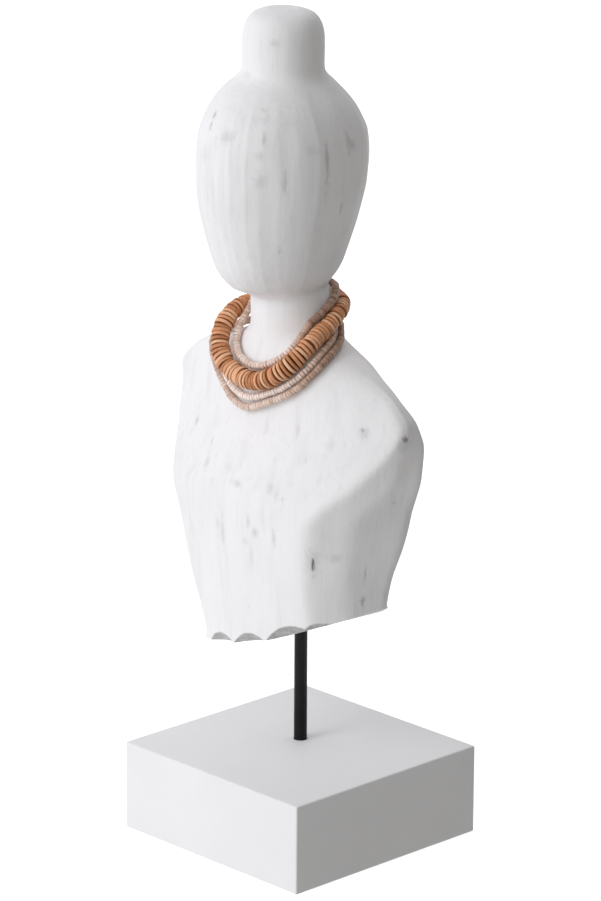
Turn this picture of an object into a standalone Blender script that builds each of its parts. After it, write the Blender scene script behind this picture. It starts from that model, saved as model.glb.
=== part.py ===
"""Bust ornament: a carved faceless bust on a rod, over a square plinth, with bead strands.

Metres, +Z up. The origin is the centre of the plinth's underside. The plinth's front
faces -Y, and the bust faces almost the same way.
"""
import math

import bmesh
import bpy
from mathutils import Matrix, Vector
from mathutils.bvhtree import BVHTree

# Plinth and rod
PLINTH_WIDTH = 0.150
PLINTH_DEPTH = 0.150
PLINTH_HEIGHT = 0.0555
PLINTH_EDGE = 0.0008
ROD_DIAMETER = 0.008
ROD_IN_PLINTH = 0.040
ROD_IN_BUST = 0.060
ROD_EDGE = 0.0005
ROD_SIDES = 24
ROD_OFF_CENTRE = (-0.0066, 0.0064)
FIT = 0.0003

# Bust: where it stands over the plinth, and its driving sizes
BUST_RISE = 0.0750
BUST_TURN = math.radians(-4.0)
BUST_SHIFT = (-0.0014, -0.0016)
TORSO_HEIGHT = 0.1915
NECK_HEIGHT = 0.018
HEAD_HEIGHT = 0.132
TOPKNOT_HEIGHT = 0.0395
SHOULDER_WIDTH = 0.193
TORSO_DEPTH = 0.085
NECK_DIAMETER = 0.049
NECK_SET = -0.0055
HEAD_WIDTH = 0.094
HEAD_DEPTH = 0.1076
TOPKNOT_DIAMETER = 0.0488
TOPKNOT_SET = -0.013

# The slanting underside: rise to the right, its curve, and how high up the slant fades out
UNDERSIDE_SLOPE = 0.285
UNDERSIDE_CURVE = 1.6
SLANT_FADE = 0.080
LEFT_TAPER = 0.29
LEFT_TAPER_HEIGHT = 0.060

# Torso sections from the underside to the neck: height as a share of TORSO_HEIGHT, then
# the corners of the right half as shares of half SHOULDER_WIDTH (across) and TORSO_DEPTH
# (depth): end of the front facet, end of the corner facet, end of the side, end of the
# back corner, and last the bow of the front facet at its middle
TORSO_SECTIONS = (
    (0.000, (0.586, -0.462), (0.722, -0.229), (0.798, 0.065), (0.545, 0.235), 0.082),
    (0.285, (0.586, -0.507), (0.745, -0.280), (0.870, 0.118), (0.576, 0.318), 0.070),
    (0.452, (0.630, -0.528), (0.800, -0.265), (0.914, 0.163), (0.626, 0.376), 0.062),
    (0.598, (0.848, -0.285), (0.945, -0.060), (0.993, 0.178), (0.727, 0.376), 0.220),
    (0.687, (0.949, -0.125), (0.985, -0.005), (1.000, 0.192), (0.768, 0.335), 0.315),
    (0.760, (0.975, -0.030), (0.995, 0.030), (0.985, 0.142), (0.758, 0.282), 0.375),
    (0.833, (0.850, -0.035), (0.885, 0.020), (0.860, 0.090), (0.667, 0.212), 0.362),
    (0.885, (0.675, -0.080), (0.722, -0.005), (0.697, 0.086), (0.545, 0.190), 0.320),
    (0.948, (0.460, -0.155), (0.520, -0.060), (0.515, 0.106), (0.424, 0.188), 0.221),
    (1.000, (0.313, -0.259), (0.364, -0.141), (0.364, 0.094), (0.283, 0.165), 0.100),
)
BACK_BOW = 0.035

# The left front corner stands further forward than the right: height as a share of
# TORSO_HEIGHT, then by how much the ends of the front facet and of the corner facet do
LEFT_FORWARD = (
    (0.285, 0.000, 0.000),
    (0.452, 0.042, 0.033),
    (0.598, 0.048, 0.070),
    (0.687, 0.080, 0.095),
    (0.760, 0.141, 0.148),
    (0.833, 0.153, 0.161),
    (0.885, 0.138, 0.136),
    (0.948, 0.080, 0.081),
    (1.000, 0.000, 0.000),
)

# How the shoulders run into the neck: height as a share of TORSO_HEIGHT, then the half
# width and half depth of the round section as shares of the neck's radius
NECK_FLARE = (
    (0.865, 1.469, 1.224),
    (0.917, 1.224, 1.122),
    (0.979, 1.061, 1.020),
    (1.000, 1.000, 1.000),
)
NECK_BLEND = (0.886, 1.000)

# The head's egg from chin to crown: height as a share of HEAD_HEIGHT, size as a share of
# the head's half width and half depth, and its place behind or before the neck
HEAD_PROFILE = (
    (0.027, 0.501, -0.0100),
    (0.045, 0.546, -0.0136),
    (0.070, 0.605, -0.0147),
    (0.114, 0.690, -0.0149),
    (0.159, 0.750, -0.0151),
    (0.212, 0.795, -0.0153),
    (0.303, 0.866, -0.0152),
    (0.394, 0.926, -0.0150),
    (0.515, 0.984, -0.0138),
    (0.636, 1.000, -0.0132),
    (0.742, 0.976, -0.0130),
    (0.803, 0.925, -0.0136),
    (0.856, 0.860, -0.0140),
    (0.909, 0.768, -0.0145),
    (0.955, 0.660, -0.0147),
    (0.985, 0.578, -0.0142),
)
CHIN_TILT = -0.03
CHIN_TILT_ACROSS = 0.12
CHIN_TILT_FADE = 0.35

# The topknot: height as a share of TOPKNOT_HEIGHT and radius as a share of its own
TOPKNOT_PROFILE = (
    (0.020, 1.050),
    (0.114, 0.994),
    (0.367, 1.000),
    (0.595, 0.992),
    (0.759, 0.940),
    (0.878, 0.834),
    (0.959, 0.665),
    (1.000, 0.385),
)

# Facets round half a section: front, front corner, side, back corner, back, and the
# bearings of their ends on a round section, from the front round to the back
FACET_STEPS = (5, 2, 4, 2, 4)
FACET_BEARINGS = (0.0, 35.0, 62.0, 118.0, 148.0, 180.0)
TORSO_RING_GAP = 0.0065

# Scooped chisel cuts along the lower front edge: middle across the front, width and the
# bearing that each faces
SCOOPS = (
    (-0.0185, 0.029, math.radians(-4.0)),
    (0.0095, 0.029, math.radians(3.0)),
    (0.0396, 0.038, math.radians(14.0)),
)
SCOOP_DEPTH = 0.0036
SCOOP_SLANT = math.radians(42.0)
SCOOP_LENGTH = 0.060
SCOOP_SIDES = 40

# Strands: bead sizes, then the routes as bearing round the neck (0 front, 90 right) and
# height above or below the torso's top, in metres
DISC_DIAMETER = 0.0122
DISC_DIAMETER_BEHIND = 0.0098
DISC_PITCH = 0.0026
DISC_GROOVE = 0.0009
DISC_SIDES = 8
SHELL_DIAMETER = 0.0044
SHELL_STEP = 0.0046
SHELL_SIDES = 6
STRAND_GAP = 0.0006
ROUTE_POINTS = 96
SMOOTHINGS = 16
CLEARINGS = 4
COCONUT_ROUTE = (
    (-180, 0.0120), (-150, 0.0125), (-120, 0.0120), (-95, 0.0085), (-75, 0.0005),
    (-60, -0.0070), (-50, -0.0143), (-35, -0.0235), (-15, -0.0277), (0, -0.0287),
    (15, -0.0284), (35, -0.0247), (50, -0.0195), (60, -0.0150), (70, -0.0095),
    (90, 0.0020), (110, 0.0090), (135, 0.0115), (180, 0.0120),
)
INNER_ROUTE = (
    (-180, 0.0205), (-150, 0.0205), (-120, 0.0195), (-95, 0.0145), (-75, 0.0070),
    (-60, -0.0005), (-50, -0.0075), (-35, -0.0160), (-15, -0.0213), (5, -0.0228),
    (20, -0.0216), (35, -0.0182), (50, -0.0130), (70, -0.0030), (90, 0.0085),
    (110, 0.0165), (135, 0.0200), (180, 0.0205),
)
MIDDLE_ROUTE = (
    (-180, 0.0035), (-150, 0.0025), (-120, -0.0015), (-95, -0.0070), (-75, -0.0145),
    (-60, -0.0220), (-50, -0.0293), (-35, -0.0380), (-15, -0.0415), (5, -0.0405),
    (20, -0.0372), (35, -0.0315), (50, -0.0247), (65, -0.0163), (80, -0.0090),
    (95, -0.0035), (110, 0.0010), (140, 0.0037), (180, 0.0035),
)
OUTER_ROUTE = (
    (-180, -0.0020), (-150, -0.0030), (-120, -0.0060), (-95, -0.0100), (-75, -0.0177),
    (-60, -0.0257), (-50, -0.0345), (-35, -0.0453), (-15, -0.0480), (5, -0.0465),
    (20, -0.0425), (35, -0.0359), (50, -0.0285), (65, -0.0203), (80, -0.0140),
    (95, -0.0090), (110, -0.0047), (140, -0.0020), (180, -0.0020),
)

# The stiffer strands stand off the left of the neck: how far at most, and the share of it
# at each bearing
COCONUT_BULGE = 0.0075
INNER_BULGE = 0.0035
BULGE_PROFILE = ((-130, 0.0), (-85, 0.8), (-60, 1.0), (-40, 0.5), (-20, 0.0))


def clear_scene():
    """Remove every object in the scene."""
    for thing in list(bpy.data.objects):
        bpy.data.objects.remove(thing, do_unlink=True)


def finish(name, colour, roughness, metallic=0.0):
    """A plain finish for one sub-part."""
    material = bpy.data.materials.new(name)
    material.use_nodes = True
    shader = material.node_tree.nodes["Principled BSDF"]
    shader.inputs["Base Color"].default_value = (*colour, 1.0)
    shader.inputs["Roughness"].default_value = roughness
    shader.inputs["Metallic"].default_value = metallic
    return material


def new_object(name, mesh, material=None):
    """Put a mesh in the scene as one named object with its finish."""
    thing = bpy.data.objects.new(name, mesh)
    bpy.context.collection.objects.link(thing)
    if material is not None:
        mesh.materials.append(material)
    return thing


def mesh_from(name, build):
    """Run a builder on an empty bmesh and return the mesh, with its faces turned out."""
    work = bmesh.new()
    build(work)
    bmesh.ops.recalc_face_normals(work, faces=work.faces)
    mesh = bpy.data.meshes.new(name)
    work.to_mesh(mesh)
    work.free()
    return mesh


def shade_round(thing, angle):
    """Shade smooth, with edges sharper than the angle kept crisp."""
    thing.data.shade_smooth()
    thing.data.set_sharp_from_angle(angle=math.radians(angle))


def subtract(thing, cutter):
    """Cut one object away from another, and hide the cutter."""
    cut = thing.modifiers.new(cutter.name, "BOOLEAN")
    cut.operation = "DIFFERENCE"
    cut.solver = "EXACT"
    cut.object = cutter
    cutter.hide_render = True
    cutter.display_type = "WIRE"


def soften_edges(thing, width, segments=2):
    """Take the sharpness off the edges of a machined piece."""
    bevel = thing.modifiers.new("edges", "BEVEL")
    bevel.width = width
    bevel.segments = segments
    bevel.limit_method = "ANGLE"
    bevel.angle_limit = math.radians(40.0)


def ease(share):
    """A smooth step from 0 to 1."""
    share = min(1.0, max(0.0, share))
    return share * share * (3.0 - 2.0 * share)


def through(keys, place):
    """Value at a place on a smooth curve through (place, value) keys, without overshoot."""
    if place <= keys[0][0]:
        return keys[0][1]
    if place >= keys[-1][0]:
        return keys[-1][1]
    slopes = [(b[1] - a[1]) / (b[0] - a[0]) for a, b in zip(keys, keys[1:])]
    tangents = [slopes[0]]
    for before, after in zip(slopes, slopes[1:]):
        flat = before * after <= 0.0
        tangents.append(0.0 if flat else 2.0 * before * after / (before + after))
    tangents.append(slopes[-1])
    for index, (a, b) in enumerate(zip(keys, keys[1:])):
        if place <= b[0]:
            span = b[0] - a[0]
            t = (place - a[0]) / span
            start = a[1] * (1 + 2 * t) + span * tangents[index] * t
            end = b[1] * (3 - 2 * t) + span * tangents[index + 1] * (t - 1)
            return start * (1 - t) ** 2 + end * t * t
    return keys[-1][1]


def rod_place():
    """Where the rod stands over the plinth."""
    return Vector((ROD_OFF_CENTRE[0], ROD_OFF_CENTRE[1], 0.0))


def bust_frame():
    """The bust's own frame: its underside's middle, turned and set over the plinth."""
    shift = Matrix.Translation((BUST_SHIFT[0], BUST_SHIFT[1], 0.0))
    rise = Matrix.Translation((0.0, 0.0, PLINTH_HEIGHT + BUST_RISE))
    return rise @ Matrix.Rotation(BUST_TURN, 4, "Z") @ shift


def closed_section(right, left):
    """Close a section from its right half and a left half that is given on the right."""
    return right + [(-x, y) for x, y in reversed(left[1:-1])]


def facet_half(share, on_left):
    """Half a faceted section, front to back and given on the right, at a share of the height."""
    corners = []
    for column in range(1, 5):
        across = through([(row[0], row[column][0]) for row in TORSO_SECTIONS], share)
        depth = through([(row[0], row[column][1]) for row in TORSO_SECTIONS], share)
        corners.append((across * SHOULDER_WIDTH / 2.0, depth * TORSO_DEPTH))
    bow = through([(row[0], row[5]) for row in TORSO_SECTIONS], share) * TORSO_DEPTH
    back_bow = BACK_BOW * TORSO_DEPTH
    front_middle = (0.0, corners[0][1] - bow)
    back_middle = (0.0, corners[3][1] + back_bow)
    if on_left:
        for column in (1, 2):
            forward = through([(row[0], row[column]) for row in LEFT_FORWARD], share)
            across, depth = corners[column - 1]
            corners[column - 1] = (across, depth - forward * TORSO_DEPTH)
    ends = [front_middle, *corners, back_middle]
    half = []
    for facet, steps in enumerate(FACET_STEPS):
        for step in range(steps):
            t = step / steps
            x = ends[facet][0] * (1 - t) + ends[facet + 1][0] * t
            y = ends[facet][1] * (1 - t) + ends[facet + 1][1] * t
            if facet == 0:
                y = front_middle[1] + (corners[0][1] - front_middle[1]) * t * t
            if facet == len(FACET_STEPS) - 1:
                y = corners[3][1] + back_bow * (1 - (1 - t) ** 2)
            half.append((x, y))
    half.append(back_middle)
    return half


def facet_section(height):
    """The faceted torso section at a height above the underside."""
    share = height / TORSO_HEIGHT
    section = closed_section(facet_half(share, False), facet_half(share, True))
    return taper_left(section, height)


def taper_left(section, height):
    """Draw the left side in a little towards the underside."""
    share = 1.0 - ease(height / LEFT_TAPER_HEIGHT)
    narrow = 1.0 - LEFT_TAPER * share
    return [(x * narrow, y) if x < 0.0 else (x, y) for x, y in section]


def round_section(half_width, half_depth, set_back):
    """An oval section whose points match the facets of the torso's sections."""
    half = []
    for facet, steps in enumerate(FACET_STEPS):
        for step in range(steps):
            start, end = FACET_BEARINGS[facet], FACET_BEARINGS[facet + 1]
            bearing = math.radians(start + (end - start) * step / steps)
            across = half_width * math.sin(bearing)
            half.append((across, set_back - half_depth * math.cos(bearing)))
    half.append((0.0, set_back + half_depth))
    return closed_section(half, half)


def torso_section(height):
    """The section at a height: faceted below, running into the round neck above."""
    share = height / TORSO_HEIGHT
    radius = NECK_DIAMETER / 2.0
    half_width = through([(row[0], row[1]) for row in NECK_FLARE], share) * radius
    half_depth = through([(row[0], row[2]) for row in NECK_FLARE], share) * radius
    faceted = facet_section(height)
    oval = round_section(half_width, half_depth, NECK_SET)
    blend = ease((share - NECK_BLEND[0]) / (NECK_BLEND[1] - NECK_BLEND[0]))
    return [
        (a[0] * (1 - blend) + b[0] * blend, a[1] * (1 - blend) + b[1] * blend)
        for a, b in zip(faceted, oval)
    ]


def torso_rings():
    """Rings of the torso and neck, from the slanting underside up to the chin."""
    rings = []
    levels = math.ceil(TORSO_HEIGHT / TORSO_RING_GAP)
    for level in range(levels + 1):
        height = TORSO_HEIGHT * level / levels
        slant = 1.0 - ease(height / SLANT_FADE)
        ring = []
        for x, y in torso_section(height):
            tip = UNDERSIDE_SLOPE * x + UNDERSIDE_CURVE * x * x
            ring.append(Vector((x, y, height + slant * tip)))
        rings.append(ring)
    return rings


def head_rings():
    """Rings of the neck's top, the egg of the head and the topknot."""
    rings = []
    neck_top = TORSO_HEIGHT + NECK_HEIGHT
    radius = NECK_DIAMETER / 2.0
    neck = round_section(radius, radius, NECK_SET)
    rings.append([Vector((x, y, neck_top + CHIN_TILT * (y - NECK_SET))) for x, y in neck])
    for share, size, set_back in HEAD_PROFILE:
        level = neck_top + share * HEAD_HEIGHT
        lean = 1.0 - ease(share / CHIN_TILT_FADE)
        section = round_section(size * HEAD_WIDTH / 2.0, size * HEAD_DEPTH / 2.0, set_back)
        ring = []
        for x, y in section:
            tip = CHIN_TILT * (y - set_back) + CHIN_TILT_ACROSS * x
            ring.append(Vector((x, y, level + lean * tip)))
        rings.append(ring)
    crown = neck_top + HEAD_HEIGHT
    for share, size in TOPKNOT_PROFILE:
        level = crown + share * TOPKNOT_HEIGHT
        knot = size * TOPKNOT_DIAMETER / 2.0
        section = round_section(knot, knot, TOPKNOT_SET)
        rings.append([Vector((x, y, level)) for x, y in section])
    return rings


def skin(work, rings, closed_loop=False):
    """Join rings of points by faces, and cap the ends of an open run."""
    rows = [[work.verts.new(point) for point in ring] for ring in rings]
    pairs = list(zip(rows, rows[1:]))
    if closed_loop:
        pairs.append((rows[-1], rows[0]))
    for lower, upper in pairs:
        count = len(lower)
        for index in range(count):
            after = (index + 1) % count
            work.faces.new((lower[index], lower[after], upper[after], upper[index]))
    if not closed_loop:
        work.faces.new(list(reversed(rows[0])))
        work.faces.new(rows[-1])


def front_edge(across):
    """The point of the lower front edge at a place across the front."""
    section = torso_section(0.0)
    reach = FACET_STEPS[0] + 1
    depth = through(section[-reach:] + section[:reach + 1], across)
    rise = UNDERSIDE_SLOPE * across + UNDERSIDE_CURVE * across * across
    return Vector((across, depth, rise))


def edge_slope(across):
    """The angle of the lower front edge to the level at a place across the front."""
    return math.atan(UNDERSIDE_SLOPE + 2.0 * UNDERSIDE_CURVE * across)


def scoop_cutter(name, across, width, bearing):
    """A round-nosed cutter lying across the lower front edge, in the bust's frame."""
    radius = width * width / (8.0 * SCOOP_DEPTH) + SCOOP_DEPTH / 2.0
    turn = Matrix.Rotation(bearing, 3, "Z") @ Matrix.Rotation(-edge_slope(across), 3, "Y")
    outward = turn @ Vector((0.0, -math.cos(SCOOP_SLANT), -math.sin(SCOOP_SLANT)))
    along = turn @ Vector((0.0, math.sin(SCOOP_SLANT), -math.cos(SCOOP_SLANT)))
    centre = front_edge(across) + outward * (radius - SCOOP_DEPTH)
    return bar_cutter(name, centre, along, radius, SCOOP_LENGTH, SCOOP_SIDES)


def bar_cutter(name, centre, along, radius, length, sides):
    """A round bar about a centre and along a direction, in the bust's frame."""
    turn = along.to_track_quat("Z", "Y").to_matrix().to_4x4()

    def build(work):
        bmesh.ops.create_cone(
            work, cap_ends=True, segments=sides, radius1=radius, radius2=radius,
            depth=length, matrix=Matrix.Translation(centre) @ turn)

    cutter = new_object(name, mesh_from(name, build))
    cutter.matrix_world = bust_frame()
    return cutter


def cylinder(name, radius, bottom, top, place, material=None):
    """An upright cylinder between two heights."""
    middle = Vector((place.x, place.y, (bottom + top) / 2.0))

    def build(work):
        bmesh.ops.create_cone(
            work, cap_ends=True, segments=ROD_SIDES, radius1=radius, radius2=radius,
            depth=top - bottom, matrix=Matrix.Translation(middle))

    return new_object(name, mesh_from(name, build), material)


def make_plinth():
    """The square block, with its blind socket for the rod."""
    def build(work):
        bmesh.ops.create_cube(work, size=1.0)
        bmesh.ops.scale(work, verts=work.verts, vec=(PLINTH_WIDTH, PLINTH_DEPTH, PLINTH_HEIGHT))
        bmesh.ops.translate(work, verts=work.verts, vec=(0.0, 0.0, PLINTH_HEIGHT / 2.0))

    material = finish("white_paint", (0.86, 0.86, 0.87), 0.55)
    plinth = new_object("plinth", mesh_from("plinth", build), material)
    soften_edges(plinth, PLINTH_EDGE)
    socket_floor = PLINTH_HEIGHT - ROD_IN_PLINTH - FIT
    socket = cylinder(
        "plinth_socket_cutter", ROD_DIAMETER / 2.0 + FIT, socket_floor,
        PLINTH_HEIGHT + ROD_DIAMETER, rod_place())
    subtract(plinth, socket)
    return plinth


def make_rod():
    """The steel rod, from its socket in the plinth up into the bust."""
    material = finish("black_steel", (0.012, 0.012, 0.014), 0.38, 1.0)
    foot = PLINTH_HEIGHT - ROD_IN_PLINTH
    tip = PLINTH_HEIGHT + BUST_RISE + ROD_IN_BUST
    rod = cylinder("rod", ROD_DIAMETER / 2.0, foot, tip, rod_place(), material)
    soften_edges(rod, ROD_EDGE, 1)
    shade_round(rod, 40.0)
    return rod


def make_bust():
    """The carved bust in one piece, with its scooped lower edge and the rod's hole."""
    def build(work):
        skin(work, torso_rings() + head_rings())

    material = finish("limed_wood", (0.84, 0.83, 0.81), 0.75)
    bust = new_object("bust", mesh_from("bust", build), material)
    bust.matrix_world = bust_frame()
    for number, (across, width, bearing) in enumerate(SCOOPS, start=1):
        subtract(bust, scoop_cutter(f"scoop_cutter_{number}", across, width, bearing))
    hole_top = PLINTH_HEIGHT + BUST_RISE + ROD_IN_BUST + FIT
    hole = cylinder(
        "bust_hole_cutter", ROD_DIAMETER / 2.0 + FIT,
        PLINTH_HEIGHT + FIT, hole_top, rod_place())
    subtract(bust, hole)
    shade_round(bust, 24.0)
    return bust


def surface_tree():
    """A search tree of the bust's plain surface, in the bust's own frame."""
    work = bmesh.new()
    skin(work, torso_rings() + head_rings())
    bmesh.ops.recalc_face_normals(work, faces=work.faces)
    tree = BVHTree.FromBMesh(work)
    work.free()
    return tree


def strand_route(tree, keys, bulge, radius_at, neighbours):
    """The closed centre line of a strand that lies round the neck on the bust's surface.

    It starts from its heights at each bearing, is drawn smooth as a threaded strand is,
    and is kept off the bust and off the strands already laid.
    """
    points = []
    for step in range(ROUTE_POINTS):
        bearing = -180.0 + 360.0 * step / ROUTE_POINTS
        angle = math.radians(bearing)
        inward = Vector((-math.sin(angle), math.cos(angle), 0.0))
        level = TORSO_HEIGHT + through(keys, bearing)
        start = Vector((0.0, NECK_SET, level)) - inward * SHOULDER_WIDTH
        hit, normal, _, _ = tree.ray_cast(start, inward)
        off = radius_at(hit) + STRAND_GAP + bulge * through(BULGE_PROFILE, bearing)
        points.append(hit + normal * off)
    for _ in range(SMOOTHINGS):
        smooth = []
        for index, point in enumerate(points):
            beside = points[index - 1] + points[(index + 1) % len(points)]
            smooth.append(point * 0.6 + beside * 0.2)
        points = [keep_clear(point, tree, radius_at(point), neighbours) for point in smooth]
    return points


def keep_clear(point, tree, radius, neighbours):
    """Move a strand's point off the strands already laid and off the bust."""
    for _ in range(CLEARINGS):
        for route, other_radius_at in neighbours:
            nearest = min(route, key=lambda place: (place - point).length_squared)
            room = radius + other_radius_at(nearest) + STRAND_GAP
            apart = point - nearest
            if apart.length < room:
                point = nearest + apart.normalized() * room
        reach = radius + STRAND_GAP
        near, normal, _, distance = tree.find_nearest(point)
        outside = (point - near).dot(normal) > 0.0
        if not outside:
            point = near + normal * reach
        elif distance < reach:
            point = near + (point - near).normalized() * reach
    return point


def disc_radius(point):
    """The radius of the coconut discs at a place round the neck, smaller behind."""
    ahead = (NECK_SET - point.y) / math.hypot(point.x, point.y - NECK_SET)
    share = ease(0.5 + 0.5 * ahead)
    return (DISC_DIAMETER_BEHIND + (DISC_DIAMETER - DISC_DIAMETER_BEHIND) * share) / 2.0


def shell_radius(point):
    """The radius of the shell beads, the same all round."""
    return SHELL_DIAMETER / 2.0


def spaced(route, count):
    """A number of points at an even spacing along a closed route."""
    closed = route + [route[0]]
    lengths = [(b - a).length for a, b in zip(closed, closed[1:])]
    total = sum(lengths)
    points = []
    index, walked = 0, 0.0
    for number in range(count):
        goal = total * number / count
        while walked + lengths[index] < goal:
            walked += lengths[index]
            index += 1
        share = (goal - walked) / lengths[index]
        points.append(closed[index].lerp(closed[index + 1], share))
    return points


def route_length(route):
    """The length of a closed route."""
    return sum((b - a).length for a, b in zip(route, route[1:] + route[:1]))


def bead_rings(points, radii, sides):
    """Rings of points round a closed line, one for each of its points."""
    rings = []
    count = len(points)
    for index, (point, radius) in enumerate(zip(points, radii)):
        along = (points[(index + 1) % count] - points[index - 1]).normalized()
        side = along.cross(Vector((0.0, 0.0, 1.0))).normalized()
        lift = side.cross(along)
        ring = []
        for step in range(sides):
            angle = 2.0 * math.pi * (step + 0.5) / sides
            ring.append(point + (side * math.cos(angle) + lift * math.sin(angle)) * radius)
        rings.append(ring)
    return rings


def make_strand(name, points, radii, sides, material):
    """A closed strand of beads, fused into one solid."""
    def build(work):
        skin(work, bead_rings(points, radii, sides), closed_loop=True)

    strand = new_object(name, mesh_from(name, build), material)
    strand.matrix_world = bust_frame()
    return strand


def make_coconut_strand(route):
    """The thick strand: a rim and a groove for each disc."""
    material = finish("coconut_shell", (0.52, 0.27, 0.13), 0.6)
    discs = round(route_length(route) / DISC_PITCH)
    points = spaced(route, 2 * discs)
    radii = []
    for index, point in enumerate(points):
        groove = DISC_GROOVE if index % 2 else 0.0
        radii.append(disc_radius(point) - groove)
    return make_strand("coconut_strand", points, radii, DISC_SIDES, material)


def make_strands():
    """The thick strand of coconut discs and the three thin shell strands beside it."""
    tree = surface_tree()
    coconut = strand_route(tree, COCONUT_ROUTE, COCONUT_BULGE, disc_radius, [])
    make_coconut_strand(coconut)
    material = finish("shell_beads", (0.72, 0.58, 0.48), 0.5)
    laid = [(coconut, disc_radius)]
    shells = (
        ("shell_strand_inner", INNER_ROUTE, INNER_BULGE),
        ("shell_strand_middle", MIDDLE_ROUTE, 0.0),
        ("shell_strand_outer", OUTER_ROUTE, 0.0),
    )
    for name, keys, bulge in shells:
        route = strand_route(tree, keys, bulge, shell_radius, laid)
        laid.append((route, shell_radius))
        points = spaced(route, round(route_length(route) / SHELL_STEP))
        radii = [shell_radius(point) for point in points]
        make_strand(name, points, radii, SHELL_SIDES, material)


def main():
    """Build the whole ornament."""
    clear_scene()
    make_plinth()
    make_rod()
    make_bust()
    make_strands()


main()
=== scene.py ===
"""Dresses the bust ornament: whitened carved wood, painted plinth, steel rod and bead strands.

Metres, +Z up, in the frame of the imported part. The bust faces almost along -Y.
"""
import logging
import math
import random
from collections.abc import Callable
from dataclasses import dataclass, field
from enum import Enum

import bmesh
import bpy
import numpy as np
from mathutils import Matrix, Vector, noise
from mathutils.bvhtree import BVHTree


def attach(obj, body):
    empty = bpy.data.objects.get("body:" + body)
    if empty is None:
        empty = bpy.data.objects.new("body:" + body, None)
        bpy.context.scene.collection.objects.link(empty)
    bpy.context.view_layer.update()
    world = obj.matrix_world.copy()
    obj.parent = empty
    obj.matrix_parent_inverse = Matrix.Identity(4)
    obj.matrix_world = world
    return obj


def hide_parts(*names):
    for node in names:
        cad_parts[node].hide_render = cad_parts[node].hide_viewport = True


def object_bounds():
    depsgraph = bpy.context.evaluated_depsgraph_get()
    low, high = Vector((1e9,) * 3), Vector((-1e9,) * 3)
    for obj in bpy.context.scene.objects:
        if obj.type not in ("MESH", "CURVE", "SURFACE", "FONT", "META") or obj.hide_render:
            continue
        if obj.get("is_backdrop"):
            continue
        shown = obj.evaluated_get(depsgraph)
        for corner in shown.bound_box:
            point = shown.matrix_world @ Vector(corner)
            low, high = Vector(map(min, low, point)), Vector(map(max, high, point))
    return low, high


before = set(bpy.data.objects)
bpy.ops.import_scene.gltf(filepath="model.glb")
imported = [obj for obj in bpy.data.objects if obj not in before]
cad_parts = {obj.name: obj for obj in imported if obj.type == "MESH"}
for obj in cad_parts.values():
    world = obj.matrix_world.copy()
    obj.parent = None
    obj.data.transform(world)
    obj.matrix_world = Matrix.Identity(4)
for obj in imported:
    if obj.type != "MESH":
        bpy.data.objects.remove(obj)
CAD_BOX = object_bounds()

LOG = logging.getLogger("bust_ornament")
BODY = "root"

Span = tuple[float, float]
Point = tuple[float, float, float]
Colour = tuple[float, float, float]
Keys = tuple[Span, ...]
Steps = tuple[int, ...]
Ring = list[Point]
Bar = tuple[Vector, Vector, float]
Socket = bpy.types.NodeSocket
Value = Socket | float | tuple[float, ...]

UP = Vector((0.0, 0.0, 1.0))
PART_FRAME = Matrix.Identity(4)
ROD_PLACE = (-0.0066, 0.0064)
ROD_HOLE_RADIUS = 0.0043
# Nearly all values of a noise lie in this span.
NOISE_SPAN = (0.3, 0.7)
# Random turns round a circle, in radians.
ANY_TURN = (0.0, 6.28)
# Keeps a length of nothing from being divided by.
TINY = 1e-12


def ease(share: float) -> float:
    """Return a smooth step from 0 to 1."""
    share = min(1.0, max(0.0, share))
    return share * share * (3.0 - 2.0 * share)


def through(keys: list[Span] | Keys, place: float) -> float:
    """Read a smooth curve through its keys, without overshoot.

    Args:
        keys: (place, value) pairs in rising order of place.
        place: Where to read the curve.

    Returns:
        The curve's value there.
    """
    if place <= keys[0][0]:
        return keys[0][1]
    if place >= keys[-1][0]:
        return keys[-1][1]
    slopes = [(b[1] - a[1]) / (b[0] - a[0]) for a, b in zip(keys, keys[1:])]
    tangents = [slopes[0]]
    for before, after in zip(slopes, slopes[1:]):
        flat = before * after <= 0.0
        tangents.append(0.0 if flat else 2.0 * before * after / (before + after))
    tangents.append(slopes[-1])
    for index, (a, b) in enumerate(zip(keys, keys[1:])):
        if place <= b[0]:
            span = b[0] - a[0]
            t = (place - a[0]) / span
            start = a[1] * (1 + 2 * t) + span * tangents[index] * t
            end = b[1] * (3 - 2 * t) + span * tangents[index + 1] * (t - 1)
            return start * (1 - t) ** 2 + end * t * t
    return keys[-1][1]


def column_at(rows: list[tuple] | tuple[tuple, ...], column: int, place: float) -> float:
    """Read one column of a table as a smooth curve, where each row starts with its place."""
    return through([(row[0], row[column]) for row in rows], place)


def new_piece(name: str, mesh: bpy.types.Mesh, nodes: tuple[str, ...]) -> bpy.types.Object:
    """Put a mesh in the scene as a piece that rides on the part and stands for its nodes.

    Args:
        name: The piece's name.
        mesh: Its mesh, in the part's frame.
        nodes: The solids that it stands for.

    Returns:
        The new object.
    """
    piece = bpy.data.objects.new(name, mesh)
    bpy.context.collection.objects.link(piece)
    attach(piece, BODY)
    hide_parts(*nodes)
    return piece


def mesh_of(name: str, build: Callable[[bmesh.types.BMesh], None]) -> bpy.types.Mesh:
    """Run a builder on an empty bmesh and return the mesh with its faces turned out.

    Args:
        name: The mesh's name.
        build: Fills the bmesh in.

    Returns:
        The mesh.
    """
    work = bmesh.new()
    build(work)
    bmesh.ops.recalc_face_normals(work, faces=work.faces)
    mesh = bpy.data.meshes.new(name)
    work.to_mesh(mesh)
    work.free()
    return mesh


def shade_round(mesh: bpy.types.Mesh, angle: float) -> None:
    """Shade a mesh smooth, with edges sharper than an angle in degrees kept crisp."""
    mesh.shade_smooth()
    mesh.set_sharp_from_angle(angle=math.radians(angle))


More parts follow.
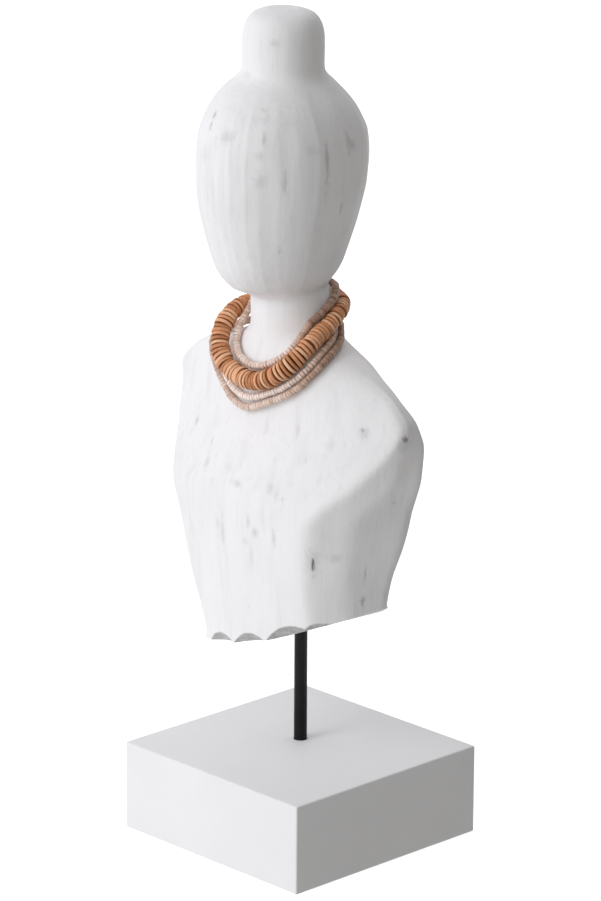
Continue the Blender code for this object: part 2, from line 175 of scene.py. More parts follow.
def loft(work: bmesh.types.BMesh, rings: list[Ring]) -> list[list[bmesh.types.BMVert]]:
    """Join each closed ring of points to the next by faces, and return the rings' corners.

    Args:
        work: The bmesh to build in.
        rings: Rings with as many points each.

    Returns:
        The corners, ring by ring.
    """
    rows = [[work.verts.new(point) for point in ring] for ring in rings]
    for lower, upper in zip(rows, rows[1:]):
        for side, corner in enumerate(lower):
            after = (side + 1) % len(lower)
            work.faces.new((corner, lower[after], upper[after], upper[side]))
    return rows


def round_bar(name: str, middle: Vector, along: Vector, radius: float, length: float,
              place: Matrix = PART_FRAME, sides: int = 128) -> bpy.types.Mesh:
    """Return a round bar to cut with.

    Args:
        name: The mesh's name.
        middle: Its middle, in the frame that it is given in.
        along: Its direction there.
        radius: Its radius.
        length: Its length.
        place: That frame in the part's own.
        sides: How many sides it has.

    Returns:
        The closed mesh.
    """
    turn = along.to_track_quat("Z", "Y").to_matrix().to_4x4()

    def build(work: bmesh.types.BMesh) -> None:
        """Fill in the bar.

        Args:
            work: The bmesh to build in.
        """
        bmesh.ops.create_cone(
            work, cap_ends=True, segments=sides, radius1=radius, radius2=radius,
            depth=length, matrix=place @ Matrix.Translation(middle) @ turn)

    return mesh_of(name, build)


def cut_away(piece: bpy.types.Object, cutters: list[bpy.types.Mesh]) -> None:
    """Cut meshes away from a piece.

    Args:
        piece: The piece, whose mesh is replaced by the cut one.
        cutters: Closed meshes in the part's frame.
    """
    helpers = []
    for cutter in cutters:
        helper = bpy.data.objects.new(cutter.name, cutter)
        bpy.context.collection.objects.link(helper)
        helpers.append(helper)
        cut = piece.modifiers.new(cutter.name, "BOOLEAN")
        cut.operation = "DIFFERENCE"
        cut.solver = "EXACT"
        cut.object = helper
    bpy.context.view_layer.update()
    seen = piece.evaluated_get(bpy.context.evaluated_depsgraph_get())
    mesh = bpy.data.meshes.new_from_object(seen)
    piece.modifiers.clear()
    old = piece.data
    piece.data = mesh
    bpy.data.meshes.remove(old)
    for helper, cutter in zip(helpers, cutters):
        bpy.data.objects.remove(helper)
        bpy.data.meshes.remove(cutter)


def blurred(values: np.ndarray, sigma: float, axis: int, closed: bool) -> np.ndarray:
    """Soften an array of points along one axis.

    Args:
        values: Points, with rings first and columns second.
        sigma: Width of the softening, in steps.
        axis: 0 along the rings, 1 round each ring.
        closed: Whether the axis runs round in a loop.

    Returns:
        The softened copy.
    """
    reach = math.ceil(3.0 * sigma)
    offsets = np.arange(-reach, reach + 1)
    weights = np.exp(-0.5 * (offsets / sigma) ** 2)
    weights /= weights.sum()
    total = np.zeros_like(values)
    count = values.shape[axis]
    for offset, weight in zip(offsets, weights):
        index = np.arange(count) + offset
        index = index % count if closed else np.clip(index, 0, count - 1)
        total += weight * np.take(values, index, axis=axis)
    return total


class NodeKit:
    """Short ways to place and join shader nodes in one tree."""

    def __init__(self, tree: bpy.types.NodeTree) -> None:
        """Start work in a tree."""
        self.tree = tree

    def join(self, source: Value, target: Socket) -> None:
        """Feed a socket from another socket, or give it a plain value.

        Args:
            source: The other socket or the value.
            target: The socket that gets it.
        """
        if isinstance(source, Socket):
            self.tree.links.new(source, target)
        elif target.type == "RGBA":
            target.default_value = (*source, 1.0)
        else:
            target.default_value = source

    def add(self, kind: str, inputs: dict[str | int, Value], **choices: str) -> bpy.types.Node:
        """Add a node.

        Args:
            kind: Its type, as Blender names it after ShaderNode.
            inputs: What each of its inputs gets, by name or number.
            choices: Its own options, such as its operation.

        Returns:
            The node.
        """
        node = self.tree.nodes.new("ShaderNode" + kind)
        for name, choice in choices.items():
            setattr(node, name, choice)
        for name, value in inputs.items():
            self.join(value, node.inputs[name])
        return node

    def vectors(self, operation: str, *values: Value, result: str = "Vector") -> Socket:
        """Combine vectors by a Vector Math node's operation."""
        return self.add("VectorMath", dict(enumerate(values)), operation=operation).outputs[result]

    def maths(self, operation: str, *values: Value) -> Socket:
        """Combine values by a Math node's operation."""
        return self.add("Math", dict(enumerate(values)), operation=operation).outputs[0]

    def spread(self, value: Socket, span: Span, result: Span = (0.0, 1.0)) -> Socket:
        """Map a value smoothly from one span to another, held at both ends.

        Args:
            value: The value.
            span: The span that it is read in.
            result: What the span's two ends become.

        Returns:
            The mapped value.
        """
        names = ("Value", "From Min", "From Max", "To Min", "To Max")
        inputs = dict(zip(names, (value, *span, *result)))
        return self.add("MapRange", inputs, interpolation_type="SMOOTHSTEP").outputs["Result"]

    def mix(self, amount: Value, first: Value, second: Value) -> Socket:
        """Mix two colours by an amount."""
        inputs = {"Factor": amount, 6: first, 7: second}
        return self.add("Mix", inputs, data_type="RGBA").outputs[2]


@dataclass(frozen=True)
class Grain:
    """An uneven pattern in a surface.

    Attributes:
        scale: Its features per metre.
        detail: How many finer layers it has.
        rough: How strong the finer layers are.
        stretch: How closely it repeats along each axis, where that isn't even.
        span: The values between which it comes to show.
        strength: How strongly it shows at most.
    """

    scale: float
    detail: float = 3.0
    rough: float = 0.5
    stretch: Point | None = None
    span: Span = NOISE_SPAN
    strength: float = 1.0


class Shader(NodeKit):
    """Short ways to make one material."""

    def __init__(self, name: str) -> None:
        """Start a material with its Principled BSDF.

        Args:
            name: The material's name.
        """
        self.material = bpy.data.materials.new(name)
        self.material.use_nodes = True
        super().__init__(self.material.node_tree)
        self.surface = self.tree.nodes["Principled BSDF"]
        self.place = self.add("TexCoord", {}).outputs["Object"]

    def set(self, **values: Value) -> None:
        """Feed the surface's own sockets, with _ for a space in their names."""
        for name, value in values.items():
            self.join(value, self.surface.inputs[name.replace("_", " ")])

    def pattern(self, grain: Grain, result: str = "Fac") -> Socket:
        """Add a pattern, and return its value or another of its results.

        Args:
            grain: The pattern.
            result: Which of the texture's outputs is wanted.

        Returns:
            That output.
        """
        place = self.place
        if grain.stretch is not None:
            place = self.vectors("MULTIPLY", place, grain.stretch)
        inputs = {"Vector": place, "Scale": grain.scale, "Detail": grain.detail, "Roughness": grain.rough}
        return self.add("TexNoise", inputs).outputs[result]

    def shown(self, grain: Grain, value: Socket | None = None) -> Socket:
        """Return how strongly a pattern shows, from its value where that is already there."""
        value = self.pattern(grain) if value is None else value
        return self.spread(value, grain.span, (0.0, grain.strength))

    def ramp(self, value: Socket, stops: tuple[tuple[float, Colour], ...]) -> Socket:
        """Read a colour from a ramp of (place, colour) stops.

        Args:
            value: Where the ramp is read.
            stops: Its (place, colour) stops, in rising order.

        Returns:
            The colour.
        """
        node = self.add("ValToRGB", {"Fac": value})
        elements = node.color_ramp.elements
        while len(elements) < len(stops):
            elements.new(0.5)
        for element, (place, colour) in zip(elements, stops):
            element.position = place
            element.color = (*colour, 1.0)
        return node.outputs["Color"]

    def attribute(self, name: str) -> Socket:
        """Read one of the mesh's own values."""
        return self.add("Attribute", {}, attribute_name=name).outputs["Fac"]

    def bump(self, height: Socket, depth: float, strength: float) -> None:
        """Raise the surface's fine relief by a height of a given depth in metres.

        Args:
            height: The height, from 0 to 1.
            depth: What a height of 1 stands for, in metres.
            strength: How strongly it shows.
        """
        node = self.add("Bump", {"Strength": strength, "Distance": depth, "Height": height})
        already = self.surface.inputs["Normal"].links
        if already:
            self.join(already[0].from_socket, node.inputs["Normal"])
        self.join(node.outputs["Normal"], self.surface.inputs["Normal"])


class MarkKind(Enum):
    """What a mark in the whitened wood is, by the colour that shows."""

    KNOT = (0.13, 0.12, 0.12)
    NICK = (0.10, 0.085, 0.075)
    SMUDGE = (0.43, 0.43, 0.45)
    STREAK = (0.36, 0.36, 0.37)

    @property
    def sunk(self) -> bool:
        """Whether it is a small pit, and not only a stain."""
        return self in (MarkKind.KNOT, MarkKind.NICK)


@dataclass(frozen=True)
class Mark:
    """One worn or dark place in the wood, placed where the picture shows it.

    Attributes:
        kind: What it is.
        across: Picture column of its middle, in pixels.
        down: Picture row of its middle, in pixels.
        half_width: Half its width, in metres.
        half_height: Half its height, in metres.
        strength: How strongly it shows, from 0 to 1.
    """

    kind: MarkKind
    across: float
    down: float
    half_width: float
    half_height: float
    strength: float


KNOT, NICK, SMUDGE, STREAK = MarkKind.KNOT, MarkKind.NICK, MarkKind.SMUDGE, MarkKind.STREAK
MARKS = (
    Mark(KNOT, 406.0, 440.0, 0.0021, 0.0020, 0.80),
    Mark(SMUDGE, 403.0, 445.0, 0.0034, 0.0034, 0.30),
    Mark(KNOT, 363.0, 430.5, 0.0015, 0.0016, 0.42),
    Mark(SMUDGE, 364.0, 434.0, 0.0026, 0.0030, 0.35),
    Mark(NICK, 313.3, 565.0, 0.0013, 0.0052, 0.85),
    Mark(SMUDGE, 313.3, 563.0, 0.0030, 0.0070, 0.30),
    Mark(SMUDGE, 324.0, 556.5, 0.0100, 0.0014, 0.07),
    Mark(SMUDGE, 336.0, 559.0, 0.0030, 0.0022, 0.28),
    Mark(KNOT, 363.0, 601.0, 0.0017, 0.0032, 0.40),
    Mark(STREAK, 365.0, 574.0, 0.0008, 0.0130, 0.35),
    Mark(SMUDGE, 197.0, 420.0, 0.0019, 0.0020, 0.43),
    Mark(SMUDGE, 212.0, 441.0, 0.0014, 0.0025, 0.32),
    Mark(SMUDGE, 207.0, 462.0, 0.0018, 0.0040, 0.32),
    Mark(SMUDGE, 228.0, 467.0, 0.0035, 0.0032, 0.16),
    Mark(SMUDGE, 237.0, 483.0, 0.0041, 0.0021, 0.30),
    Mark(SMUDGE, 270.0, 488.0, 0.0024, 0.0031, 0.30),
    Mark(SMUDGE, 276.0, 495.0, 0.0018, 0.0032, 0.22),
    Mark(STREAK, 267.0, 427.0, 0.0018, 0.0056, 0.16),
    Mark(STREAK, 298.0, 430.0, 0.0014, 0.0050, 0.20),
    Mark(SMUDGE, 330.0, 445.0, 0.0027, 0.0030, 0.19),
    Mark(STREAK, 223.0, 534.0, 0.0018, 0.0070, 0.24),
    Mark(STREAK, 218.0, 524.0, 0.0014, 0.0032, 0.19),
    Mark(STREAK, 248.0, 522.0, 0.0014, 0.0037, 0.26),
    Mark(SMUDGE, 255.0, 533.0, 0.0020, 0.0025, 0.45),
    Mark(STREAK, 274.0, 538.0, 0.0014, 0.0050, 0.29),
    Mark(STREAK, 252.0, 556.0, 0.0012, 0.0063, 0.14),
    Mark(SMUDGE, 245.0, 541.0, 0.0027, 0.0018, 0.19),
    Mark(SMUDGE, 227.0, 137.0, 0.0038, 0.0034, 0.35),
    Mark(STREAK, 214.5, 115.0, 0.0013, 0.0037, 0.59),
    Mark(STREAK, 211.0, 125.0, 0.0011, 0.0032, 0.42),
    Mark(STREAK, 264.0, 139.0, 0.0011, 0.0077, 0.42),
    Mark(SMUDGE, 259.0, 156.0, 0.0025, 0.0025, 0.25),
    Mark(SMUDGE, 260.0, 182.0, 0.0031, 0.0040, 0.28),
    Mark(STREAK, 285.0, 183.0, 0.0013, 0.0070, 0.34),
    Mark(SMUDGE, 311.0, 151.0, 0.0028, 0.0032, 0.21),
    Mark(STREAK, 327.0, 157.0, 0.0013, 0.0156, 0.52),
    Mark(STREAK, 348.5, 142.0, 0.0018, 0.0055, 0.39),
    Mark(SMUDGE, 353.0, 145.5, 0.0021, 0.0024, 0.35),
    Mark(SMUDGE, 263.0, 120.0, 0.0045, 0.0025, 0.14),
    Mark(STREAK, 213.0, 195.0, 0.0013, 0.0090, 0.14),
    Mark(SMUDGE, 205.0, 155.0, 0.0028, 0.0045, 0.15),
    Mark(SMUDGE, 275.0, 43.0, 0.0028, 0.0020, 0.28),
    Mark(SMUDGE, 247.0, 75.0, 0.0028, 0.0018, 0.17),
)


@dataclass(frozen=True)
class PhotoCamera:
    """Where the picture was taken from, in the part's frame.

    Attributes:
        azimuth: How far it stands round to the right of the front.
        elevation: How far it looks down.
        roll: How far it is turned about its view.
        distance: Its distance from the place that it aims at.
        aim_height: Height of that place.
        aim_side: How far it lies to the right of the part's middle.
        focal: Focal length, in pixels.
        width: Width of the picture, in pixels.
        height: Height of the picture, in pixels.
        sensor: Size of the sensor, in millimetres.
        furthest: How far it sees.
    """

    azimuth: float = math.radians(46.022)
    elevation: float = math.radians(17.29)
    roll: float = math.radians(0.332)
    distance: float = 2.9634
    aim_height: float = 0.2415
    aim_side: float = -0.0009
    focal: float = 4980.16
    width: float = 601.0
    height: float = 901.0
    sensor: float = 36.0
    furthest: float = 60.0

    @property
    def side(self) -> Vector:
        """The level direction to the right of the view."""
        return Vector((math.cos(self.azimuth), math.sin(self.azimuth), 0.0))

    def axes(self) -> tuple[Vector, Vector, Vector]:
        """Return the camera's right, up and forward directions."""
        ahead = Vector((-math.sin(self.azimuth), math.cos(self.azimuth), 0.0))
        forward = ahead * math.cos(self.elevation) - UP * math.sin(self.elevation)
        up = self.side.cross(forward)
        cosine, sine = math.cos(self.roll), math.sin(self.roll)
        return cosine * self.side + sine * up, cosine * up - sine * self.side, forward

    def place(self) -> Vector:
        """Return the camera's own place."""
        aim = self.side * self.aim_side + UP * self.aim_height
        return aim - self.axes()[2] * self.distance

    def ray(self, across: float, down: float) -> Vector:
        """Return the direction seen at a place in the picture.

        Args:
            across: The picture's column, in pixels.
            down: Its row.

        Returns:
            The direction, of length 1.
        """
        right, up, forward = self.axes()
        x = (across - self.width / 2.0) / self.focal
        y = (self.height / 2.0 - down) / self.focal
        return (forward + right * x + up * y).normalized()

    def build(self) -> None:
        """Add the camera and make it the scene's own."""
        right, up, forward = self.axes()
        data = bpy.data.cameras.new("picture_camera")
        data.sensor_width = self.sensor
        data.lens = self.focal * self.sensor / self.height
        data.clip_end = self.furthest
        camera = bpy.data.objects.new("picture_camera", data)
        turn = Matrix((right, up, -forward)).transposed().to_4x4()
        camera.matrix_world = Matrix.Translation(self.place()) @ turn
        bpy.context.collection.objects.link(camera)
        bpy.context.scene.camera = camera


@dataclass(frozen=True)
class WhitenedWood:
    """Carved wood under a thin, worn, white wash, with painted shade in the scooped cuts along its lower
    edge.

    A relief is its depth in metres and its strength.
    """

    wash: Colour = (0.882, 0.880, 0.878)
    grey_wash: Colour = (0.800, 0.797, 0.795)
    scuff: Colour = (0.60, 0.585, 0.57)
    # Painted shade for the scooped cuts along the lower edge, in a lighter and a deeper grey.
    scooped: Colour = (0.58, 0.58, 0.57)
    deeper_scoop_shade: Colour = (0.43, 0.425, 0.415)
    grain: Grain = Grain(430.0, 4.0, 0.62, (1.0, 1.0, 0.045), (0.50, 0.74), 0.55)
    bands: Grain = Grain(95.0, 3.0, 0.55, (1.0, 1.0, 0.16), (0.50, 0.72), 0.50)
    clouds: Grain = Grain(24.0, 3.0, 0.5, None, (0.45, 0.70), 0.25)
    scuffs: Grain = Grain(150.0, 2.0, 0.5, (1.0, 1.0, 0.45), (0.66, 0.76), 0.45)
    scuffed_places: Grain = Grain(31.0, 1.0, 0.5, None, (0.52, 0.64))
    # Mottles the painted shade in the scooped cuts between its two greys.
    scoop_shade_mottle: Grain = Grain(260.0, 3.0, 0.6, None, (0.35, 0.65))
    wobble: Grain = Grain(700.0, 2.0, 0.6)
    wobble_reach: Point = (0.0014, 0.0014, 0.0020)
    ragged: Grain = Grain(560.0, 3.0, 0.65, (1.0, 1.0, 0.45), (0.32, 0.68))
    raggedness: Span = (0.70, 1.35)
    pores: Grain = Grain(900.0, 3.0, 0.6)
    roughness: Span = (0.62, 0.80)
    specular: float = 0.28
    grain_relief: Span = (0.00028, 0.55)
    pore_relief: Span = (0.00012, 0.35)
    pit_relief: Span = (0.0005, 0.7)
    pit_falloff: Span = (0.20, 1.45)
    stain_falloff: Span = (0.0, 1.90)
    bar_edge: Span = (-0.0001, 0.0006)

    def material(self, marks: list[tuple[Mark, Vector]], bars: list[Bar]) -> bpy.types.Material:
        """Build the finish.

        Args:
            marks: Each mark with its place on the wood.
            bars: Middle, direction and radius of the round bar that each scoop follows, whose surface gets
                the painted shade.

        Returns:
            The material.
        """
        shader = Shader("whitened_wood")
        grain = shader.pattern(self.grain)
        clouds = shader.pattern(self.clouds)
        tone = shader.maths("ADD", shader.shown(self.grain, grain), shader.shown(self.bands))
        tone = shader.maths("ADD", tone, shader.shown(self.clouds, clouds))
        colour = shader.mix(tone, self.wash, self.grey_wash)
        scuffs = shader.maths("MULTIPLY", shader.shown(self.scuffs), shader.shown(self.scuffed_places))
        colour = shader.mix(scuffs, colour, self.scuff)
        # Painted shade: the scooped cuts face down and are coloured grey, darker than the wash.
        scoop_shade = shader.mix(shader.shown(self.scoop_shade_mottle), self.scooped, self.deeper_scoop_shade)
        for middle, along, radius in bars:
            colour = shader.mix(self.near_bar(shader, middle, along, radius), colour, scoop_shade)
        place = shader.vectors(
            "MULTIPLY_ADD", shader.pattern(self.wobble, "Color"), self.wobble_reach, shader.place)
        ragged = shader.spread(shader.pattern(self.ragged), self.ragged.span, self.raggedness)
        pits = 0.0
        for mark, spot in marks:
            amount = self.mark_amount(shader, place, ragged, mark, spot)
            colour = shader.mix(amount, colour, mark.kind.value)
            if mark.kind.sunk:
                pits = shader.maths("MAXIMUM", pits, amount)
        shader.set(Base_Color=colour, Roughness=shader.spread(clouds, NOISE_SPAN, self.roughness),
                   Specular_IOR_Level=self.specular)
        shader.bump(grain, *self.grain_relief)
        shader.bump(shader.pattern(self.pores), *self.pore_relief)
        shader.bump(shader.maths("MULTIPLY", pits, -1.0), *self.pit_relief)
        return shader.material

    def near_bar(self, shader: Shader, middle: Vector, along: Vector, radius: float) -> Socket:
        """Return 1 on a round bar's surface, fading to 0 just outside it, where the scoops' painted shade
        goes.

        Args:
            shader: The material's shader.
            middle: The bar's middle.
            along: Its direction.
            radius: Its radius.

        Returns:
            The share.
        """
        away = shader.vectors("SUBTRACT", shader.place, tuple(middle))
        turned = shader.vectors("CROSS_PRODUCT", away, tuple(along))
        distance = shader.vectors("LENGTH", turned, result="Value")
        inner, outer = (radius + edge for edge in self.bar_edge)
        return shader.spread(distance, (inner, outer), (1.0, 0.0))

    def mark_amount(self, shader: Shader, place: Socket, ragged: Socket, mark: Mark,
                    spot: Vector) -> Socket:
        """Return how strongly a mark shows.

        Args:
            shader: The material's shader.
            place: The place on the wood, moved a little by the wobble.
            ragged: How ragged the mark's edge is there.
            mark: The mark.
            spot: Its middle.

        Returns:
            Its strength there.
        """
        away = shader.vectors("SUBTRACT", place, tuple(spot + Vector(self.wobble_reach) / 2.0))
        size = (mark.half_width, mark.half_width, mark.half_height)
        reach = shader.vectors("LENGTH", shader.vectors("DIVIDE", away, size), result="Value")
        reach = shader.maths("MULTIPLY", reach, ragged)
        falloff = self.pit_falloff if mark.kind.sunk else self.stain_falloff
        return shader.spread(reach, falloff, (mark.strength, 0.0))


@dataclass(frozen=True)
class WhitePaint:
    """Matt white paint on the plinth, with a faint brushed unevenness."""

    colour: Colour = (0.865, 0.865, 0.865)
    deeper: Colour = (0.835, 0.835, 0.835)
    clouds: Grain = Grain(14.0, 3.0, 0.5, None, (0.35, 0.70), 0.8)
    specks: Grain = Grain(1100.0, 3.0, 0.6)
    brushed: Grain = Grain(420.0, 3.0, 0.5, (0.12, 1.0, 1.0))
    roughness: Span = (0.50, 0.62)
    specular: float = 0.30
    speck_relief: Span = (0.00006, 0.5)
    brush_relief: Span = (0.00008, 0.4)

    def material(self) -> bpy.types.Material:
        """Build the finish."""
        shader = Shader("plinth_white_paint")
        brushed = shader.pattern(self.brushed)
        shader.set(Base_Color=shader.mix(shader.shown(self.clouds), self.colour, self.deeper),
                   Roughness=shader.spread(brushed, NOISE_SPAN, self.roughness),
                   Specular_IOR_Level=self.specular)
        shader.bump(shader.pattern(self.specks), *self.speck_relief)
        shader.bump(brushed, *self.brush_relief)
        return shader.material


@dataclass(frozen=True)
class BlackSteel:
    """Satin black steel bar, with fine marks along it."""

    colour: Colour = (0.003, 0.003, 0.003)
    lighter: Colour = (0.008, 0.008, 0.008)
    clouds: Grain = Grain(60.0, 3.0, 0.5, None, (0.4, 0.7), 0.7)
    drawn: Grain = Grain(1600.0, 3.0, 0.6, (1.0, 1.0, 0.03))
    roughness: Span = (0.38, 0.55)
    specular: float = 0.20
    relief: Span = (0.00004, 0.5)

    def material(self) -> bpy.types.Material:
        """Build the finish."""
        shader = Shader("rod_black_steel")
        drawn = shader.pattern(self.drawn)
        shader.set(Base_Color=shader.mix(shader.shown(self.clouds), self.colour, self.lighter),
                   Roughness=shader.spread(drawn, NOISE_SPAN, self.roughness),
                   Specular_IOR_Level=self.specular)
        shader.bump(drawn, *self.relief)
        return shader.material


@dataclass(frozen=True)
class BeadFinish:
    """Shell cut into beads, whose tone changes from bead to bead, with painted shade on the flanks where
    the beads meet.

    Attributes:
        name: The material's name.
        tones: Colours from dark to pale, by tone.
        flank_shade: Painted shade on the sides that face the next beads.
        rim: Rim values between which the painted shade on the flanks gives way to the rim's colour.
        specks: Its fine specks.
        speckled: How far the specks change the tone.
        roughness: Least and most roughness.
        specular: Its specular level.
        relief: Depth in metres and strength of the specks' relief.
    """

    name: str
    tones: tuple[tuple[float, Colour], ...]
    flank_shade: Colour
    rim: Span
    specks: Grain
    speckled: float
    roughness: Span
    specular: float
    relief: Span

    def material(self) -> bpy.types.Material:
        """Build the finish."""
        shader = Shader(self.name)
        specks = shader.pattern(self.specks)
        speckled = shader.spread(specks, NOISE_SPAN, (-self.speckled, self.speckled))
        colour = shader.ramp(shader.maths("ADD", shader.attribute("tone"), speckled), self.tones)
        # Painted shade: the flanks between the beads take a darker colour from their low rim value.
        rim = shader.spread(shader.attribute("rim"), self.rim)
        shader.set(Base_Color=shader.mix(rim, self.flank_shade, colour),
                   Roughness=shader.spread(specks, NOISE_SPAN, self.roughness),
                   Specular_IOR_Level=self.specular)
        shader.bump(specks, *self.relief)
        return shader.material


@dataclass(frozen=True)
class CoconutShell(BeadFinish):
    """Bare coconut shell, tan to dark brown from disc to disc, with painted shade on the flanks between the
    discs.
    """

    name: str = "coconut_shell"
    tones: tuple[tuple[float, Colour], ...] = (
        (0.00, (0.27, 0.095, 0.034)),
        (0.18, (0.47, 0.183, 0.070)),
        (0.45, (0.67, 0.298, 0.134)),
        (0.70, (0.80, 0.395, 0.202)),
        (0.88, (0.85, 0.485, 0.272)),
        (1.00, (0.87, 0.555, 0.340)),
    )
    # Painted shade between the discs.
    flank_shade: Colour = (0.330, 0.118, 0.043)
    rim: Span = (0.15, 0.95)
    specks: Grain = Grain(900.0, 3.0, 0.6)
    speckled: float = 0.14
    roughness: Span = (0.48, 0.66)
    specular: float = 0.35
    relief: Span = (0.00015, 0.6)


@dataclass(frozen=True)
class PaleShell(BeadFinish):
    """Pale pinkish shell, in some beads greyer or browner, with painted shade on the flanks between the
    beads; its darkest tones carry the painted shade on the strands' right side.
    """

    name: str = "shell_beads"
    tones: tuple[tuple[float, Colour], ...] = (
        (0.00, (0.17, 0.085, 0.048)),
        (0.25, (0.36, 0.215, 0.145)),
        (0.50, (0.62, 0.435, 0.335)),
        (0.75, (0.83, 0.670, 0.580)),
        (1.00, (0.97, 0.850, 0.775)),
    )
    # Painted shade between the beads.
    flank_shade: Colour = (0.50, 0.345, 0.265)
    rim: Span = (0.10, 0.90)
    specks: Grain = Grain(1300.0, 2.0, 0.5)
    speckled: float = 0.08
    roughness: Span = (0.34, 0.48)
    specular: float = 0.45
    relief: Span = (0.00008, 0.5)


@dataclass(frozen=True)
class FloorWhite:
    """The plain pale floor, with a faint glow of its own."""

    colour: Colour = (0.93, 0.93, 0.93)
    glow_colour: Colour = (1.0, 1.0, 1.0)
    glow: float = 0.62
    roughness: float = 0.9
    specular: float = 0.1

    def material(self) -> bpy.types.Material:
        """Build the finish."""
        shader = Shader("studio_white")
        shader.set(Base_Color=self.colour, Roughness=self.roughness, Specular_IOR_Level=self.specular,
                   Emission_Color=self.glow_colour, Emission_Strength=self.glow)
        return shader.material


@dataclass
class Plinth:
    """The square painted block with the rod's socket.

    Attributes:
        width: Its width.
        depth: Its depth.
        height: Its height.
        edge: Radius of its worn edges.
        edge_steps: How many steps round them.
        socket_floor: Height of the socket's floor.
        socket_sides: How many sides the socket has.
        cut_over: How far the socket's cutter stands over the top.
        crease: Angle from which its edges stay sharp, in degrees.
    """

    width: float = 0.150
    depth: float = 0.150
    height: float = 0.0555
    edge: float = 0.0011
    edge_steps: int = 4
    socket_floor: float = 0.0152
    socket_sides: int = 64
    cut_over: float = 0.004
    crease: float = 40.0

    def build(self) -> bpy.types.Object:
        """Build and dress the plinth."""
        piece = new_piece("plinth_block", mesh_of("plinth_block", self.block), ("plinth",))
        cut_away(piece, [self.socket_cutter()])
        shade_round(piece.data, self.crease)
        piece.data.materials.append(WhitePaint().material())
        return piece

    def block(self, work: bmesh.types.BMesh) -> None:
        """Fill in the block with its worn edges.

        Args:
            work: The bmesh to build in.
        """
        bmesh.ops.create_cube(work, size=1.0)
        bmesh.ops.scale(work, verts=work.verts, vec=(self.width, self.depth, self.height))
        bmesh.ops.translate(work, verts=work.verts, vec=(0.0, 0.0, self.height / 2.0))
        bmesh.ops.bevel(work, geom=list(work.edges), offset=self.edge, profile=0.5,
                        segments=self.edge_steps, affect="EDGES")

    def socket_cutter(self) -> bpy.types.Mesh:
        """Return the round bar that cuts the rod's socket."""
        top = self.height + self.cut_over
        middle = Vector((*ROD_PLACE, (self.socket_floor + top) / 2.0))
        length = top - self.socket_floor
        return round_bar("socket_cutter", middle, UP, ROD_HOLE_RADIUS, length, sides=self.socket_sides)


@dataclass
class Rod:
    """The steel rod that carries the bust.

    Attributes:
        radius: Its radius.
        foot: Height of its lower end.
        tip: Height of its upper end.
        sides: How many sides it has.
        chamfer: Size of the chamfer at its ends.
        crease: Angle from which its edges stay sharp, in degrees.
    """

    radius: float = 0.004
    foot: float = 0.0155
    tip: float = 0.1905
    sides: int = 64
    chamfer: float = 0.0005
    crease: float = 30.0

    def build(self) -> bpy.types.Object:
        """Build and dress the rod."""
        piece = new_piece("steel_rod", mesh_of("steel_rod", self.bar), ("rod",))
        shade_round(piece.data, self.crease)
        piece.data.materials.append(BlackSteel().material())
        return piece

    def bar(self, work: bmesh.types.BMesh) -> None:
        """Fill in the bar with its chamfered ends.

        Args:
            work: The bmesh to build in.
        """
        thin = self.radius - self.chamfer
        profile = (
            (self.foot, thin),
            (self.foot + self.chamfer, self.radius),
            (self.tip - self.chamfer, self.radius),
            (self.tip, thin),
        )
        rows = loft(work, [self.ring(level, radius) for level, radius in profile])
        work.faces.new(rows[0])
        work.faces.new(rows[-1])

    def ring(self, level: float, radius: float) -> Ring:
        """Return a ring of the bar.

        Args:
            level: Its height.
            radius: Its radius.

        Returns:
            The ring's points.
        """
        x, y = ROD_PLACE
        angles = [2.0 * math.pi * side / self.sides for side in range(self.sides)]
        return [(x + radius * math.cos(angle), y + radius * math.sin(angle), level) for angle in angles]


